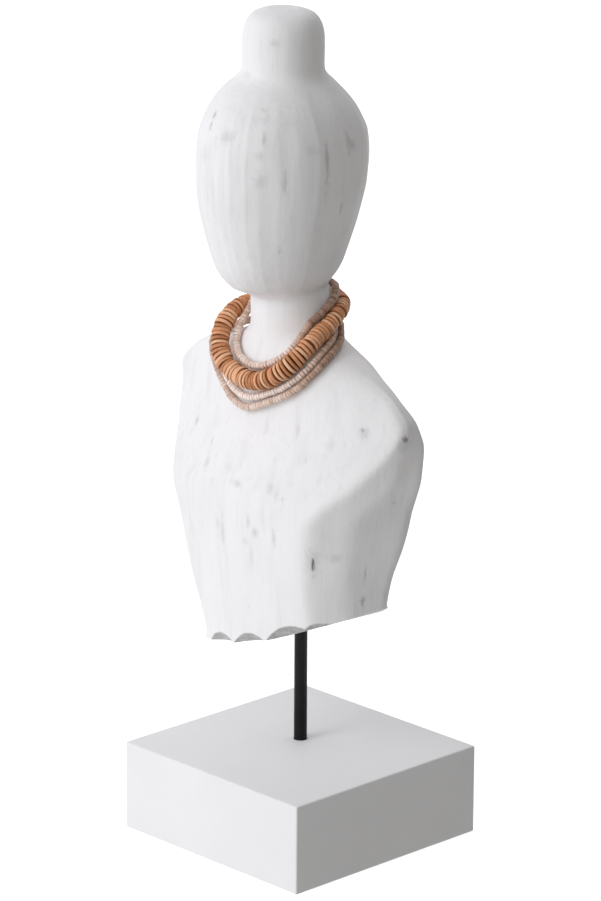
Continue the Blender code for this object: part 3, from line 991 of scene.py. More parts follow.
@dataclass
class BustForm:
    """The bust's sizes and sections, in its own frame under its middle.

    Attributes:
        rise: Height of the underside's middle above the ground.
        turn: How far the bust turns on the plinth.
        shift: Its middle's place there, in its own frame.
        torso_height: Height of the torso in the middle.
        neck_height: Height of the neck's even part over it.
        head_height: Height of the head over that.
        topknot_height: Height of the topknot over the crown.
        shoulder_width: The torso's greatest width.
        torso_depth: What its sections' depths are shares of.
        neck_radius: Radius of the neck's even part.
        neck_set: How far behind the middle the neck stands.
        head_width: The head's greatest width.
        head_depth: The head's greatest depth.
        topknot_radius: Radius of the topknot.
        topknot_set: How far behind the middle the topknot stands.
        slope: How steeply the underside rises to the right in the middle.
        curve: How fast that slope grows to the right.
        slant_fade: Height from which the torso's rings are level.
        left_taper: How much narrower the left half is at the underside, as a share.
        left_taper_height: Height from which it is no narrower.
        back_bow: Bow of the back, as a share of the torso's depth.
        neck_blend: Shares of the torso's height between which it turns from faceted to round.
        chin_tilt: How steeply the lowest rings of the head rise to the back.
        chin_tilt_across: How steeply they rise to the right.
        chin_tilt_fade: Share of the head's height from which its rings are level.
        facet_bearings: Bearings of an oval's points that match the torso's corners, in degrees.
        facet_steps: Steps that each facet of half a section takes in the plain solid.
        ring_gap: Height between the plain solid's rings.
        torso_sections: Rows of a share of the height, then four corners from front to back as
            shares of half the width and of the depth, then the front's bow as a share of the depth.
        left_forward: Rows of a share of the height, then how much further forward the left half's
            first and second corner stand, as shares of the depth.
        neck_flare: Rows of a share of the torso's height, then the neck's half width and half depth
            as shares of its radius.
        head_profile: Rows of a share of the head's height, then its width and depth as a share of
            its greatest, then how far behind the middle it stands.
        topknot_profile: Shares of its height, and of its radius there.
    """

    rise: float = 0.1305
    turn: float = math.radians(-4.0)
    shift: Span = (-0.0014, -0.0016)
    torso_height: float = 0.1915
    neck_height: float = 0.018
    head_height: float = 0.132
    topknot_height: float = 0.0395
    shoulder_width: float = 0.193
    torso_depth: float = 0.085
    neck_radius: float = 0.0245
    neck_set: float = -0.0055
    head_width: float = 0.094
    head_depth: float = 0.1076
    topknot_radius: float = 0.0244
    topknot_set: float = -0.013
    slope: float = 0.285
    curve: float = 1.6
    slant_fade: float = 0.080
    left_taper: float = 0.29
    left_taper_height: float = 0.060
    back_bow: float = 0.035
    neck_blend: Span = (0.886, 1.000)
    chin_tilt: float = -0.03
    chin_tilt_across: float = 0.12
    chin_tilt_fade: float = 0.35
    facet_bearings: tuple[float, ...] = (0.0, 35.0, 62.0, 118.0, 148.0, 180.0)
    facet_steps: Steps = (5, 2, 4, 2, 4)
    ring_gap: float = 0.0065
    torso_sections: tuple[tuple[float, Span, Span, Span, Span, float], ...] = (
        (0.000, (0.586, -0.462), (0.722, -0.229), (0.798, 0.065), (0.545, 0.235), 0.082),
        (0.285, (0.586, -0.507), (0.745, -0.280), (0.870, 0.118), (0.576, 0.318), 0.070),
        (0.452, (0.630, -0.528), (0.800, -0.265), (0.914, 0.163), (0.626, 0.376), 0.062),
        (0.598, (0.848, -0.285), (0.945, -0.060), (0.993, 0.178), (0.727, 0.376), 0.220),
        (0.687, (0.949, -0.125), (0.985, -0.005), (1.000, 0.192), (0.768, 0.335), 0.315),
        (0.760, (0.975, -0.030), (0.995, 0.030), (0.985, 0.142), (0.758, 0.282), 0.375),
        (0.833, (0.850, -0.035), (0.885, 0.020), (0.860, 0.090), (0.667, 0.212), 0.362),
        (0.885, (0.675, -0.080), (0.722, -0.005), (0.697, 0.086), (0.545, 0.190), 0.320),
        (0.948, (0.460, -0.155), (0.520, -0.060), (0.515, 0.106), (0.424, 0.188), 0.221),
        (1.000, (0.313, -0.259), (0.364, -0.141), (0.364, 0.094), (0.283, 0.165), 0.100),
    )
    left_forward: tuple[Point, ...] = (
        (0.285, 0.000, 0.000),
        (0.452, 0.042, 0.033),
        (0.598, 0.048, 0.070),
        (0.687, 0.080, 0.095),
        (0.760, 0.141, 0.148),
        (0.833, 0.153, 0.161),
        (0.885, 0.138, 0.136),
        (0.948, 0.080, 0.081),
        (1.000, 0.000, 0.000),
    )
    neck_flare: tuple[Point, ...] = (
        (0.865, 1.469, 1.224), (0.917, 1.224, 1.122), (0.979, 1.061, 1.020), (1.0, 1.0, 1.0))
    head_profile: tuple[Point, ...] = (
        (0.027, 0.501, -0.0100), (0.045, 0.546, -0.0136), (0.070, 0.605, -0.0147),
        (0.114, 0.690, -0.0149), (0.159, 0.750, -0.0151), (0.212, 0.795, -0.0153),
        (0.303, 0.866, -0.0152), (0.394, 0.926, -0.0150), (0.515, 0.984, -0.0138),
        (0.636, 1.000, -0.0132), (0.742, 0.976, -0.0130), (0.803, 0.925, -0.0136),
        (0.856, 0.860, -0.0140), (0.909, 0.768, -0.0145), (0.955, 0.660, -0.0147),
        (0.985, 0.578, -0.0142),
    )
    topknot_profile: Keys = (
        (0.020, 1.050), (0.114, 0.994), (0.367, 1.000), (0.595, 0.992),
        (0.759, 0.940), (0.878, 0.834), (0.959, 0.665), (1.000, 0.385),
    )

    @property
    def neck_top(self) -> float:
        """Height of the neck's top above the underside."""
        return self.torso_height + self.neck_height

    @property
    def crown(self) -> float:
        """Height of the crown above the underside."""
        return self.neck_top + self.head_height

    def place(self) -> Matrix:
        """Return the bust's own frame in the part's frame."""
        shift = Matrix.Translation((*self.shift, 0.0))
        return Matrix.Translation((0.0, 0.0, self.rise)) @ Matrix.Rotation(self.turn, 4, "Z") @ shift

    def tip(self, x: float) -> float:
        """Return how far the slanting underside rises at a place across the bust."""
        return self.slope * x + self.curve * x * x

    def facet_half(self, share: float, steps: Steps, on_left: bool) -> list[Span]:
        """Return half a faceted torso section, front to back and given on the right.

        Args:
            share: Height as a share of the torso's.
            steps: How many steps each facet takes.
            on_left: Whether it is the left half, whose front corner stands further forward.

        Returns:
            The half section's points.
        """
        corners = []
        for column in range(1, 5):
            across, depth = (through([(row[0], row[column][axis]) for row in self.torso_sections], share)
                             for axis in (0, 1))
            corners.append((across * self.shoulder_width / 2.0, depth * self.torso_depth))
        bow = column_at(self.torso_sections, 5, share) * self.torso_depth
        back_bow = self.back_bow * self.torso_depth
        front = corners[0][1] - bow
        if on_left:
            for column in (1, 2):
                forward = column_at(self.left_forward, column, share) * self.torso_depth
                across, depth = corners[column - 1]
                corners[column - 1] = (across, depth - forward)
        ends = [(0.0, front), *corners, (0.0, corners[3][1] + back_bow)]
        half = []
        for facet, count in enumerate(steps):
            for step in range(count):
                t = step / count
                x = ends[facet][0] * (1 - t) + ends[facet + 1][0] * t
                y = ends[facet][1] * (1 - t) + ends[facet + 1][1] * t
                if facet == 0:
                    y = front + (corners[0][1] - front) * t * t
                if facet == len(steps) - 1:
                    y = corners[3][1] + back_bow * (1 - (1 - t) ** 2)
                half.append((x, y))
        return half + [ends[-1]]

    def faceted(self, height: float, steps: Steps) -> list[Span]:
        """Return the faceted torso section at a height, from the front's middle over the right.

        Args:
            height: Height above the underside.
            steps: How many steps each facet of half the section takes.

        Returns:
            The section's points.
        """
        share = height / self.torso_height
        right = self.facet_half(share, steps, False)
        left = self.facet_half(share, steps, True)
        narrow = 1.0 - self.left_taper * (1.0 - ease(height / self.left_taper_height))
        return right + [(-x * narrow, y) for x, y in reversed(left[1:-1])]

    def oval(self, half_width: float, half_depth: float, set_back: float, steps: Steps) -> list[Span]:
        """Return an oval section whose points match those of the faceted one.

        Args:
            half_width: Half its width.
            half_depth: Half its depth.
            set_back: How far behind the middle it stands.
            steps: How many steps each facet of half the section takes.

        Returns:
            The section's points.
        """
        half = []
        for facet, count in enumerate(steps):
            for step in range(count):
                start, end = self.facet_bearings[facet], self.facet_bearings[facet + 1]
                bearing = math.radians(start + (end - start) * step / count)
                half.append((half_width * math.sin(bearing), set_back - half_depth * math.cos(bearing)))
        half.append((0.0, set_back + half_depth))
        return half + [(-x, y) for x, y in reversed(half[1:-1])]

    def torso_section(self, height: float, steps: Steps) -> list[Span]:
        """Return the section at a height: faceted below, round at the neck.

        Args:
            height: Height above the underside.
            steps: How many steps each facet of half the section takes.

        Returns:
            The section's points.
        """
        share = height / self.torso_height
        wide, deep = (column_at(self.neck_flare, column, share) * self.neck_radius for column in (1, 2))
        blend = ease((share - self.neck_blend[0]) / (self.neck_blend[1] - self.neck_blend[0]))
        pairs = zip(self.faceted(height, steps), self.oval(wide, deep, self.neck_set, steps))
        return [(a[0] * (1 - blend) + b[0] * blend, a[1] * (1 - blend) + b[1] * blend)
                for a, b in pairs]

    def torso_ring(self, height: float, steps: Steps) -> Ring:
        """Return a ring of the torso at a height, tipped with the slanting underside."""
        slant = 1.0 - ease(height / self.slant_fade)
        return [(x, y, height + slant * self.tip(x)) for x, y in self.torso_section(height, steps)]

    def head_ring(self, share: float, size: Point, steps: Steps) -> Ring:
        """Return a ring of the neck's top or the head.

        Args:
            share: Height as a share of the head's height.
            size: Half width, half depth and set of the oval.
            steps: How many steps each facet of half the section takes.

        Returns:
            The ring's points.
        """
        lean = 1.0 - ease(share / self.chin_tilt_fade)
        sideways = self.chin_tilt_across * min(1.0, max(0.0, share / self.head_profile[0][0]))
        level = self.neck_top + share * self.head_height
        return [(x, y, level + lean * (self.chin_tilt * (y - size[2]) + sideways * x))
                for x, y in self.oval(*size, steps)]

    @property
    def neck_size(self) -> Point:
        """The neck's half width, half depth and set."""
        return self.neck_radius, self.neck_radius, self.neck_set

    def head_rows(self) -> list[tuple[float, float, float, float]]:
        """Return the neck's top and the head as (share, half width, half depth, set) rows."""
        half_width, half_depth = self.head_width / 2.0, self.head_depth / 2.0
        rows = [(0.0, *self.neck_size)]
        return rows + [(share, size * half_width, size * half_depth, back)
                       for share, size, back in self.head_profile]

    def head_size(self, share: float) -> Point:
        """Return the head's half width, half depth and set at a share of its height."""
        rows = self.head_rows()
        return column_at(rows, 1, share), column_at(rows, 2, share), column_at(rows, 3, share)

    def knot_ring(self, share: float, radius: float, steps: Steps) -> Ring:
        """Return a ring of the topknot at a share of its height."""
        level = self.crown + share * self.topknot_height
        return [(x, y, level) for x, y in self.oval(radius, radius, self.topknot_set, steps)]

    def plain_tree(self) -> BVHTree:
        """Return a search tree of the plain solid's surface, in the bust's frame."""
        steps = self.facet_steps
        levels = math.ceil(self.torso_height / self.ring_gap)
        rings = [self.torso_ring(self.torso_height * level / levels, steps) for level in range(levels + 1)]
        rings += [self.head_ring(share, size, steps) for share, *size in self.head_rows()]
        rings += [self.knot_ring(share, size * self.topknot_radius, steps)
                  for share, size in self.topknot_profile]
        work = bmesh.new()
        loft(work, rings)
        bmesh.ops.recalc_face_normals(work, faces=work.faces)
        tree = BVHTree.FromBMesh(work)
        work.free()
        return tree


@dataclass(frozen=True)
class Scoop:
    """One scooped chisel cut across the lower front edge.

    Attributes:
        across: Its middle's place across the bust.
        width: Its width along the edge.
        bearing: How far it turns to the right.
        depth: How deep it is in the middle.
    """

    across: float
    width: float
    bearing: float
    depth: float = 0.0036


@dataclass(frozen=True)
class ToolMark:
    """One layer of the slight unevenness of hand work.

    Attributes:
        closeness: Features per metre along each axis.
        start: Where its pattern starts.
        depth: Its depth, in metres.
    """

    closeness: Point
    start: Point
    depth: float


@dataclass
class CarvedBust:
    """The carved bust with its chisel work, in one piece.

    Attributes:
        form: Its sizes and sections.
        camera: The picture's camera, which places the marks.
        steps: Steps that each facet of half a section takes.
        torso_levels: Steps between the torso's rings.
        neck_levels: Steps between those of the neck's even part.
        jaw_levels: Steps between those of the jaw.
        head_levels: Steps between those of the rest of the head.
        knot_levels: Steps between those of the topknot.
        under_levels: Steps from the underside's middle to its edge.
        cap_levels: Steps from the topknot's top edge to its middle.
        jaw_closeness: How much closer the rings are at the jaw's lower end.
        seed: Where its random draws start.
        scoops: The chisel cuts along the lower front edge.
        torso_softness: How far the torso's edges are worn round, in steps round a ring.
        head_softness: The same for the head.
        upright_softness: The same from ring to ring.
        flat_bearings: Bearings at which the head's flats start and end, in degrees.
        flat_widths: Least and most width of a flat.
        plain_bearings: Bearings between which one flat takes the place of several.
        flat_wander: Least and most turn of an edge between flats on its way up.
        flat_waves: How often it turns to and fro, in radians.
        flat_fades: Shares of the head's height in which the flats fade out below and above.
        flat_depth: How fully they are cut.
        flat_least: Least share of the head's radius that they leave.
        tool_marks: The layers of its unevenness.
        tool_sink: How far below the plain form they lie on the whole.
        crease: Angle from which its edges stay sharp, in degrees.
        scoop_slant: How steeply the chisel was held.
        scoop_length: Length of the bars that cut the scoops.
        rod_top: Height of the top of the rod's hole above the ground.
        cut_below: How far below the underside's middle the hole's cutter starts.
        nick_size: Half width, half depth and half height of the nick.
        nick_ragged: Least and most size of the cutter's corners, as shares.
    """

    form: BustForm
    camera: PhotoCamera
    steps: Steps = (40, 16, 32, 16, 32)
    torso_levels: int = 132
    neck_levels: int = 10
    jaw_levels: int = 22
    head_levels: int = 84
    knot_levels: int = 30
    under_levels: int = 16
    cap_levels: int = 7
    jaw_closeness: float = 1.2
    seed: int = 7
    scoops: tuple[Scoop, ...] = (
        Scoop(-0.0185, 0.029, math.radians(-4.0)),
        Scoop(0.0095, 0.029, math.radians(3.0)),
        Scoop(0.0396, 0.038, math.radians(14.0)),
        Scoop(0.0635, 0.018, math.radians(30.0), 0.0005),
    )
    torso_softness: float = 3.2
    head_softness: float = 1.8
    upright_softness: float = 1.1
    flat_bearings: Span = (-6.0, 348.0)
    flat_widths: Span = (8.5, 17.0)
    plain_bearings: Span = (79.0, 111.0)
    flat_wander: Span = (1.0, 3.0)
    flat_waves: float = 3.2
    flat_fades: Span = (0.10, 0.07)
    flat_depth: float = 0.85
    flat_least: float = 0.93
    tool_marks: tuple[ToolMark, ...] = (
        ToolMark((34.0, 34.0, 26.0), (0.0, 0.0, 0.0), 0.00042),
        ToolMark((95.0, 95.0, 38.0), (5.0, 0.0, 0.0), 0.00020),
        ToolMark((300.0, 300.0, 70.0), (0.0, 9.0, 0.0), 0.00007),
    )
    tool_sink: float = 0.0001
    crease: float = 32.0
    scoop_slant: float = math.radians(42.0)
    scoop_length: float = 0.060
    rod_top: float = 0.1908
    cut_below: float = 0.030
    nick_size: Point = (0.0007, 0.0010, 0.0038)
    nick_ragged: Span = (0.86, 1.08)

    def rings(self) -> np.ndarray:
        """Return all rings from the underside's middle to the topknot's middle."""
        form, steps = self.form, self.steps
        rings = self.underside_rings(form.torso_ring(0.0, steps))
        rings += [form.torso_ring(form.torso_height * level / self.torso_levels, steps)
                  for level in range(self.torso_levels + 1)]
        neck = form.oval(*form.neck_size, steps)
        for level in range(1, self.neck_levels):
            share = level / self.neck_levels
            rings.append([(x, y, form.torso_height + share * (
                form.neck_height + form.chin_tilt * (y - form.neck_set))) for x, y in neck])
        rings += [form.head_ring(share, form.head_size(share), steps) for share in self.head_shares()]
        first = form.topknot_profile[0][0]
        for level in range(self.knot_levels + 1):
            share = first + (1.0 - first) * math.sin(level / self.knot_levels * math.pi / 2.0)
            radius = through(form.topknot_profile, share) * form.topknot_radius
            rings.append(form.knot_ring(share, radius, steps))
        last = form.topknot_profile[-1][1] * form.topknot_radius
        rings += [form.knot_ring(1.0, last * (1.0 - level / self.cap_levels), steps)
                  for level in range(1, self.cap_levels)]
        return np.array(rings)

    def underside_rings(self, lowest: Ring) -> list[Ring]:
        """Return the rings that fill the underside in, from its middle to the lowest ring.

        Args:
            lowest: The torso's lowest ring.

        Returns:
            The rings inside it, the smallest first.
        """
        middle_x, middle_y = np.mean([(x, y) for x, y, _ in lowest], axis=0)
        rings = []
        for level in range(1, self.under_levels):
            share = level / self.under_levels
            inner = [(middle_x + (x - middle_x) * share, middle_y + (y - middle_y) * share)
                     for x, y, _ in lowest]
            rings.append([(x, y, self.form.tip(x)) for x, y in inner])
        return rings

    def head_shares(self) -> list[float]:
        """Return the heights of the head's rings, as shares of its height, closer at the jaw."""
        jaw, last = self.form.head_profile[3][0], self.form.head_profile[-1][0]
        shares = [jaw * (level / self.jaw_levels) ** self.jaw_closeness for level in range(self.jaw_levels)]
        return shares + [jaw + (last - jaw) * level / self.head_levels
                         for level in range(self.head_levels + 1)]

    def flat_edges(self, dice: random.Random) -> list[float]:
        """Return the bearings of the edges between the head's flats, all round but for a plain part.

        Args:
            dice: The carving's random draws.

        Returns:
            The bearings in rising order, in degrees.
        """
        edges = []
        bearing, last = self.flat_bearings
        while bearing < last:
            edges.append(bearing)
            bearing += dice.uniform(*self.flat_widths)
        start, end = self.plain_bearings
        return sorted([edge for edge in edges if not start < edge < end] + [start, end])

    def carve_flats(self, points: np.ndarray) -> np.ndarray:
        """Cut long, narrow upright flats into the head, as a drawknife leaves them.

        Args:
            points: All the bust's rings.

        Returns:
            A carved copy.
        """
        dice = random.Random(self.seed)
        edges = self.flat_edges(dice)
        wander = [(dice.uniform(*self.flat_wander), dice.uniform(*ANY_TURN)) for _ in edges]
        start = self.under_levels + self.torso_levels + self.neck_levels - 1
        end = start + self.jaw_levels + self.head_levels + 1
        carved = points.copy()
        for ring in range(start, end):
            place = (ring - start) / (end - start)
            fade = ease(place / self.flat_fades[0]) * ease((1.0 - place) / self.flat_fades[1])
            cuts = sorted((edge + size * math.sin(self.flat_waves * place + phase)) % 360.0
                          for edge, (size, phase) in zip(edges, wander))
            centre = points[ring].mean(axis=0)
            ray = points[ring, :, :2] - centre[:2]
            scale = np.clip(self.flat_reach(points[ring], centre, cuts), self.flat_least, 1.0)
            keep = 1.0 - self.flat_depth * fade * (1.0 - scale)
            carved[ring, :, :2] = centre[:2] + ray * keep[:, None]
        return carved

    @staticmethod
    def flat_reach(ring: np.ndarray, centre: np.ndarray, cuts: list[float]) -> np.ndarray:
        """Return how far out the flats lie at each point of a ring.

        Args:
            ring: The ring's points.
            centre: Its middle.
            cuts: Bearings of the edges between the flats, in degrees.

        Returns:
            The flats' distance from the middle, as a share of each point's own.
        """
        ray = ring[:, :2] - centre[:2]
        angles = np.degrees(np.arctan2(ray[:, 0], -ray[:, 1])) % 360.0
        order = np.argsort(angles)
        corners = np.stack(
            [np.interp(cuts, angles[order], ring[order, axis], period=360.0) for axis in (0, 1)], axis=1)
        slots = np.searchsorted(cuts, angles) % len(cuts)
        first, second = corners[slots - 1], corners[slots]
        along = second - first
        reach = first - centre[:2]
        cross = ray[:, 0] * along[:, 1] - ray[:, 1] * along[:, 0]
        return (reach[:, 0] * along[:, 1] - reach[:, 1] * along[:, 0]) / cross

    def unevened(self, points: np.ndarray) -> np.ndarray:
        """Give the whole surface the slight unevenness of hand work.

        Args:
            points: All the bust's rings.

        Returns:
            The moved points.
        """
        across = np.roll(points, -1, axis=1) - np.roll(points, 1, axis=1)
        normals = np.cross(across, np.gradient(points, axis=0))
        normals /= np.linalg.norm(normals, axis=2, keepdims=True) + TINY
        depth = np.zeros(points.shape[:2])
        for mark in self.tool_marks:
            places = points * mark.closeness + mark.start
            heights = [[noise.noise(Vector(place)) for place in row] for row in places]
            depth += mark.depth * np.array(heights)
        return points + normals * (depth - self.tool_sink)[:, :, None]

    def skin(self, points: np.ndarray) -> bpy.types.Mesh:
        """Join the rings into one closed mesh in the part's frame.

        Args:
            points: All the bust's rings, in its own frame.

        Returns:
            The closed mesh.
        """
        count, columns = points.shape[:2]
        turn = np.array(self.form.place())
        world = points.reshape(-1, 3) @ turn[:3, :3].T + turn[:3, 3]
        lowest = world[:columns].mean(axis=0)
        highest = world[-columns:].mean(axis=0)
        vertices = np.vstack([world, lowest, highest])
        index = np.arange(count * columns).reshape(count, columns)
        after = np.roll(index, -1, axis=1)
        quads = np.stack([index[:-1], after[:-1], after[1:], index[1:]], axis=2).reshape(-1, 4)
        foot, top = count * columns, count * columns + 1
        faces = quads.tolist()
        faces += [(foot, int(b), int(a)) for a, b in zip(index[0], after[0])]
        faces += [(top, int(a), int(b)) for a, b in zip(index[-1], after[-1])]
        mesh = bpy.data.meshes.new("carved_bust")
        mesh.from_pydata(vertices.tolist(), [], faces)
        mesh.update()
        return mesh

    def scoop_bars(self) -> list[Bar]:
        """Return middle, direction and radius of each scoop's round bar, in the bust's frame."""
        form = self.form
        section = form.torso_section(0.0, form.facet_steps)
        front = form.facet_steps[0] + 1
        down, level = math.sin(self.scoop_slant), math.cos(self.scoop_slant)
        bars = []
        for scoop in self.scoops:
            depth = through(section[-front:] + section[:front + 1], scoop.across)
            edge = Vector((scoop.across, depth, form.tip(scoop.across)))
            lean = -math.atan(form.slope + 2.0 * form.curve * scoop.across)
            turn = Matrix.Rotation(scoop.bearing, 3, "Z") @ Matrix.Rotation(lean, 3, "Y")
            radius = scoop.width ** 2 / (8.0 * scoop.depth) + scoop.depth / 2.0
            middle = edge + turn @ Vector((0.0, -level, -down)) * (radius - scoop.depth)
            along = turn @ Vector((0.0, down, -level))
            bars.append((middle, along, radius))
        return bars

    def rod_cutter(self) -> bpy.types.Mesh:
        """Return the cutter of the rod's hole."""
        low = self.form.rise - self.cut_below
        middle = Vector((*ROD_PLACE, (low + self.rod_top) / 2.0))
        return round_bar("rod_hole", middle, UP, ROD_HOLE_RADIUS, self.rod_top - low)

    def pit_cutter(self, number: int, spot: Vector) -> bpy.types.Mesh:
        """Return the cutter of a small ragged pit about a place on the surface.

        Args:
            number: The mark's number.
            spot: The place.

        Returns:
            The closed mesh.
        """
        dice = random.Random(self.seed + number)

        def build(work: bmesh.types.BMesh) -> None:
            """Fill in the cutter.

            Args:
                work: The bmesh to build in.
            """
            bmesh.ops.create_uvsphere(work, u_segments=14, v_segments=12, radius=1.0)
            for corner in work.verts:
                sized = Vector([share * size for share, size in zip(corner.co, self.nick_size)])
                corner.co = sized * dice.uniform(*self.nick_ragged)
            turn = Matrix.Rotation(self.camera.azimuth, 4, "Z")
            bmesh.ops.transform(work, matrix=Matrix.Translation(spot) @ turn, verts=work.verts)

        return mesh_of(f"pit_{number}", build)

    def find_marks(self, mesh: bpy.types.Mesh) -> list[tuple[Mark, Vector]]:
        """Return each mark with the place on the wood that the picture shows it at.

        Args:
            mesh: The carved bust, before it is cut.

        Returns:
            The marks that meet the wood, each with its place.
        """
        tree = BVHTree.FromPolygons([v.co for v in mesh.vertices], [p.vertices for p in mesh.polygons])
        eye = self.camera.place()
        found = []
        for mark in MARKS:
            hit = tree.ray_cast(eye, self.camera.ray(mark.across, mark.down))[0]
            if hit is not None:
                found.append((mark, hit))
        return found

    def build(self) -> bpy.types.Object:
        """Build, cut and dress the bust."""
        points = self.rings()
        cap = self.under_levels - 1
        neck = cap + self.torso_levels
        points[cap + 1:neck] = blurred(points[cap + 1:neck], self.torso_softness, 1, True)
        points[neck:] = blurred(points[neck:], self.head_softness, 1, True)
        sides = slice(cap + 1, -self.cap_levels)
        points[sides] = blurred(points[sides], self.upright_softness, 0, False)
        mesh = self.skin(self.unevened(self.carve_flats(points)))
        marks = self.find_marks(mesh)
        place = self.form.place()
        bars = self.scoop_bars()
        piece = new_piece("carved_bust", mesh, ("bust",))
        cutters = [round_bar(f"scoop_{number}", *bar, self.scoop_length, place)
                   for number, bar in enumerate(bars)]
        cutters.append(self.rod_cutter())
        cutters += [self.pit_cutter(number, spot)
                    for number, (mark, spot) in enumerate(marks) if mark.kind is NICK]
        cut_away(piece, cutters)
        shade_round(piece.data, self.crease)
        piece.data.materials.clear()
        bars = [(place @ middle, place.to_3x3() @ along, radius) for middle, along, radius in bars]
        piece.data.materials.append(WhitenedWood().material(marks, bars))
        return piece


@dataclass
class StrandPath:
    """Lays strands round the neck on the plain surface, clear of one another.

    Attributes:
        form: The bust's sizes.
        tree: A search tree of its plain surface.
        gap: Room between a strand and what it lies on.
        points: How many points a route has.
        smoothings: How many times a route is smoothed and moved clear.
        smoothing: Weight of the point on each side in a smoothing.
        clearings: How many times a point is moved clear in each.
        bulge_profile: Share of a strand's bulge at bearings round the neck.
        laid: The routes already laid, with their beads' radius.
    """

    form: BustForm
    tree: BVHTree
    gap: float = 0.0006
    points: int = 96
    smoothings: int = 16
    smoothing: float = 0.2
    clearings: int = 4
    bulge_profile: Keys = ((-130, 0.0), (-85, 0.8), (-60, 1.0), (-40, 0.5), (-20, 0.0))
    laid: list[tuple[list[Vector], Callable[[Vector], float]]] = field(default_factory=list)

    def lay(self, keys: Keys, bulge: float, radius_at: Callable[[Vector], float]) -> list[Vector]:
        """Lay one closed strand.

        Args:
            keys: Its height from the torso's top at bearings round the neck.
            bulge: How far it stands off the left of the neck at most.
            radius_at: The beads' radius at a place.

        Returns:
            Its centre line, in the bust's frame.
        """
        route = []
        for step in range(self.points):
            bearing = -180.0 + 360.0 * step / self.points
            angle = math.radians(bearing)
            inward = Vector((-math.sin(angle), math.cos(angle), 0.0))
            level = self.form.torso_height + through(keys, bearing)
            start = Vector((0.0, self.form.neck_set, level))
            hit, normal, _, _ = self.tree.ray_cast(start - inward * self.form.shoulder_width, inward)
            off = radius_at(hit) + self.gap + bulge * through(self.bulge_profile, bearing)
            route.append(hit + normal * off)
        for _ in range(self.smoothings):
            smooth = []
            for index, point in enumerate(route):
                beside = route[index - 1] + route[(index + 1) % len(route)]
                smooth.append(point * (1.0 - 2.0 * self.smoothing) + beside * self.smoothing)
            route = [self.clear(point, radius_at(point)) for point in smooth]
        self.laid.append((route, radius_at))
        return route

    def clear(self, point: Vector, radius: float) -> Vector:
        """Return a strand's point moved off the strands already laid and off the bust.

        Args:
            point: The point.
            radius: The beads' radius there.

        Returns:
            The moved point.
        """
        for _ in range(self.clearings):
            for route, other_radius_at in self.laid:
                nearest = min(route, key=lambda place: (place - point).length_squared)
                room = radius + other_radius_at(nearest) + self.gap
                apart = point - nearest
                if apart.length < room:
                    point = nearest + apart.normalized() * room
            reach = radius + self.gap
            near, normal, _, distance = self.tree.find_nearest(point)
            if (point - near).dot(normal) <= 0.0:
                point = near + normal * reach
            elif distance < reach:
                point = near + (point - near).normalized() * reach
        return point


@dataclass(frozen=True)
class Wobble:
    """How far beads differ at most, where a strand's own wobble is 1.

    Attributes:
        smaller: How much smaller a bead is, as a share of its radius.
        lean: How far it leans, in radians.
        shift: How far it stands out of line, in metres.
        thickness: How much thinner or thicker it is, as shares.
        oval: How far it is out of round, as a share.
    """

    smaller: float = 0.10
    lean: float = math.radians(3.0)
    shift: float = 0.00025
    thickness: Span = (-0.10, 0.06)
    oval: float = 0.02


@dataclass
class BeadMesh:
    """The growing mesh of a strand, with the tone and rim value of each corner."""

    vertices: list[Vector] = field(default_factory=list)
    faces: list[tuple[int, ...]] = field(default_factory=list)
    tones: list[float] = field(default_factory=list)
    rims: list[float] = field(default_factory=list)

    def close(self, start: int, rows: int, sides: int) -> None:
        """Join a bead's rings of corners by faces, and close its two ends.

        Args:
            start: Number of its first corner.
            rows: How many rings it has.
            sides: How many corners a ring has.
        """
        for low in range(start, start + (rows - 1) * sides, sides):
            high = low + sides
            for step in range(sides):
                after = (step + 1) % sides
                self.faces.append((low + after, low + step, high + step, high + after))
        last = start + (rows - 1) * sides
        self.faces.append(tuple(range(start, start + sides)))
        self.faces.append(tuple(reversed(range(last, last + sides))))

    def made(self, name: str) -> bpy.types.Mesh:
        """Return the finished mesh.

        Args:
            name: The mesh's name.

        Returns:
            The mesh, with its corners' tones and rim values.
        """
        mesh = bpy.data.meshes.new(name)
        mesh.from_pydata(self.vertices, [], self.faces)
        for value, numbers in (("tone", self.tones), ("rim", self.rims)):
            mesh.attributes.new(value, "FLOAT", "POINT").data.foreach_set("value", numbers)
        return mesh


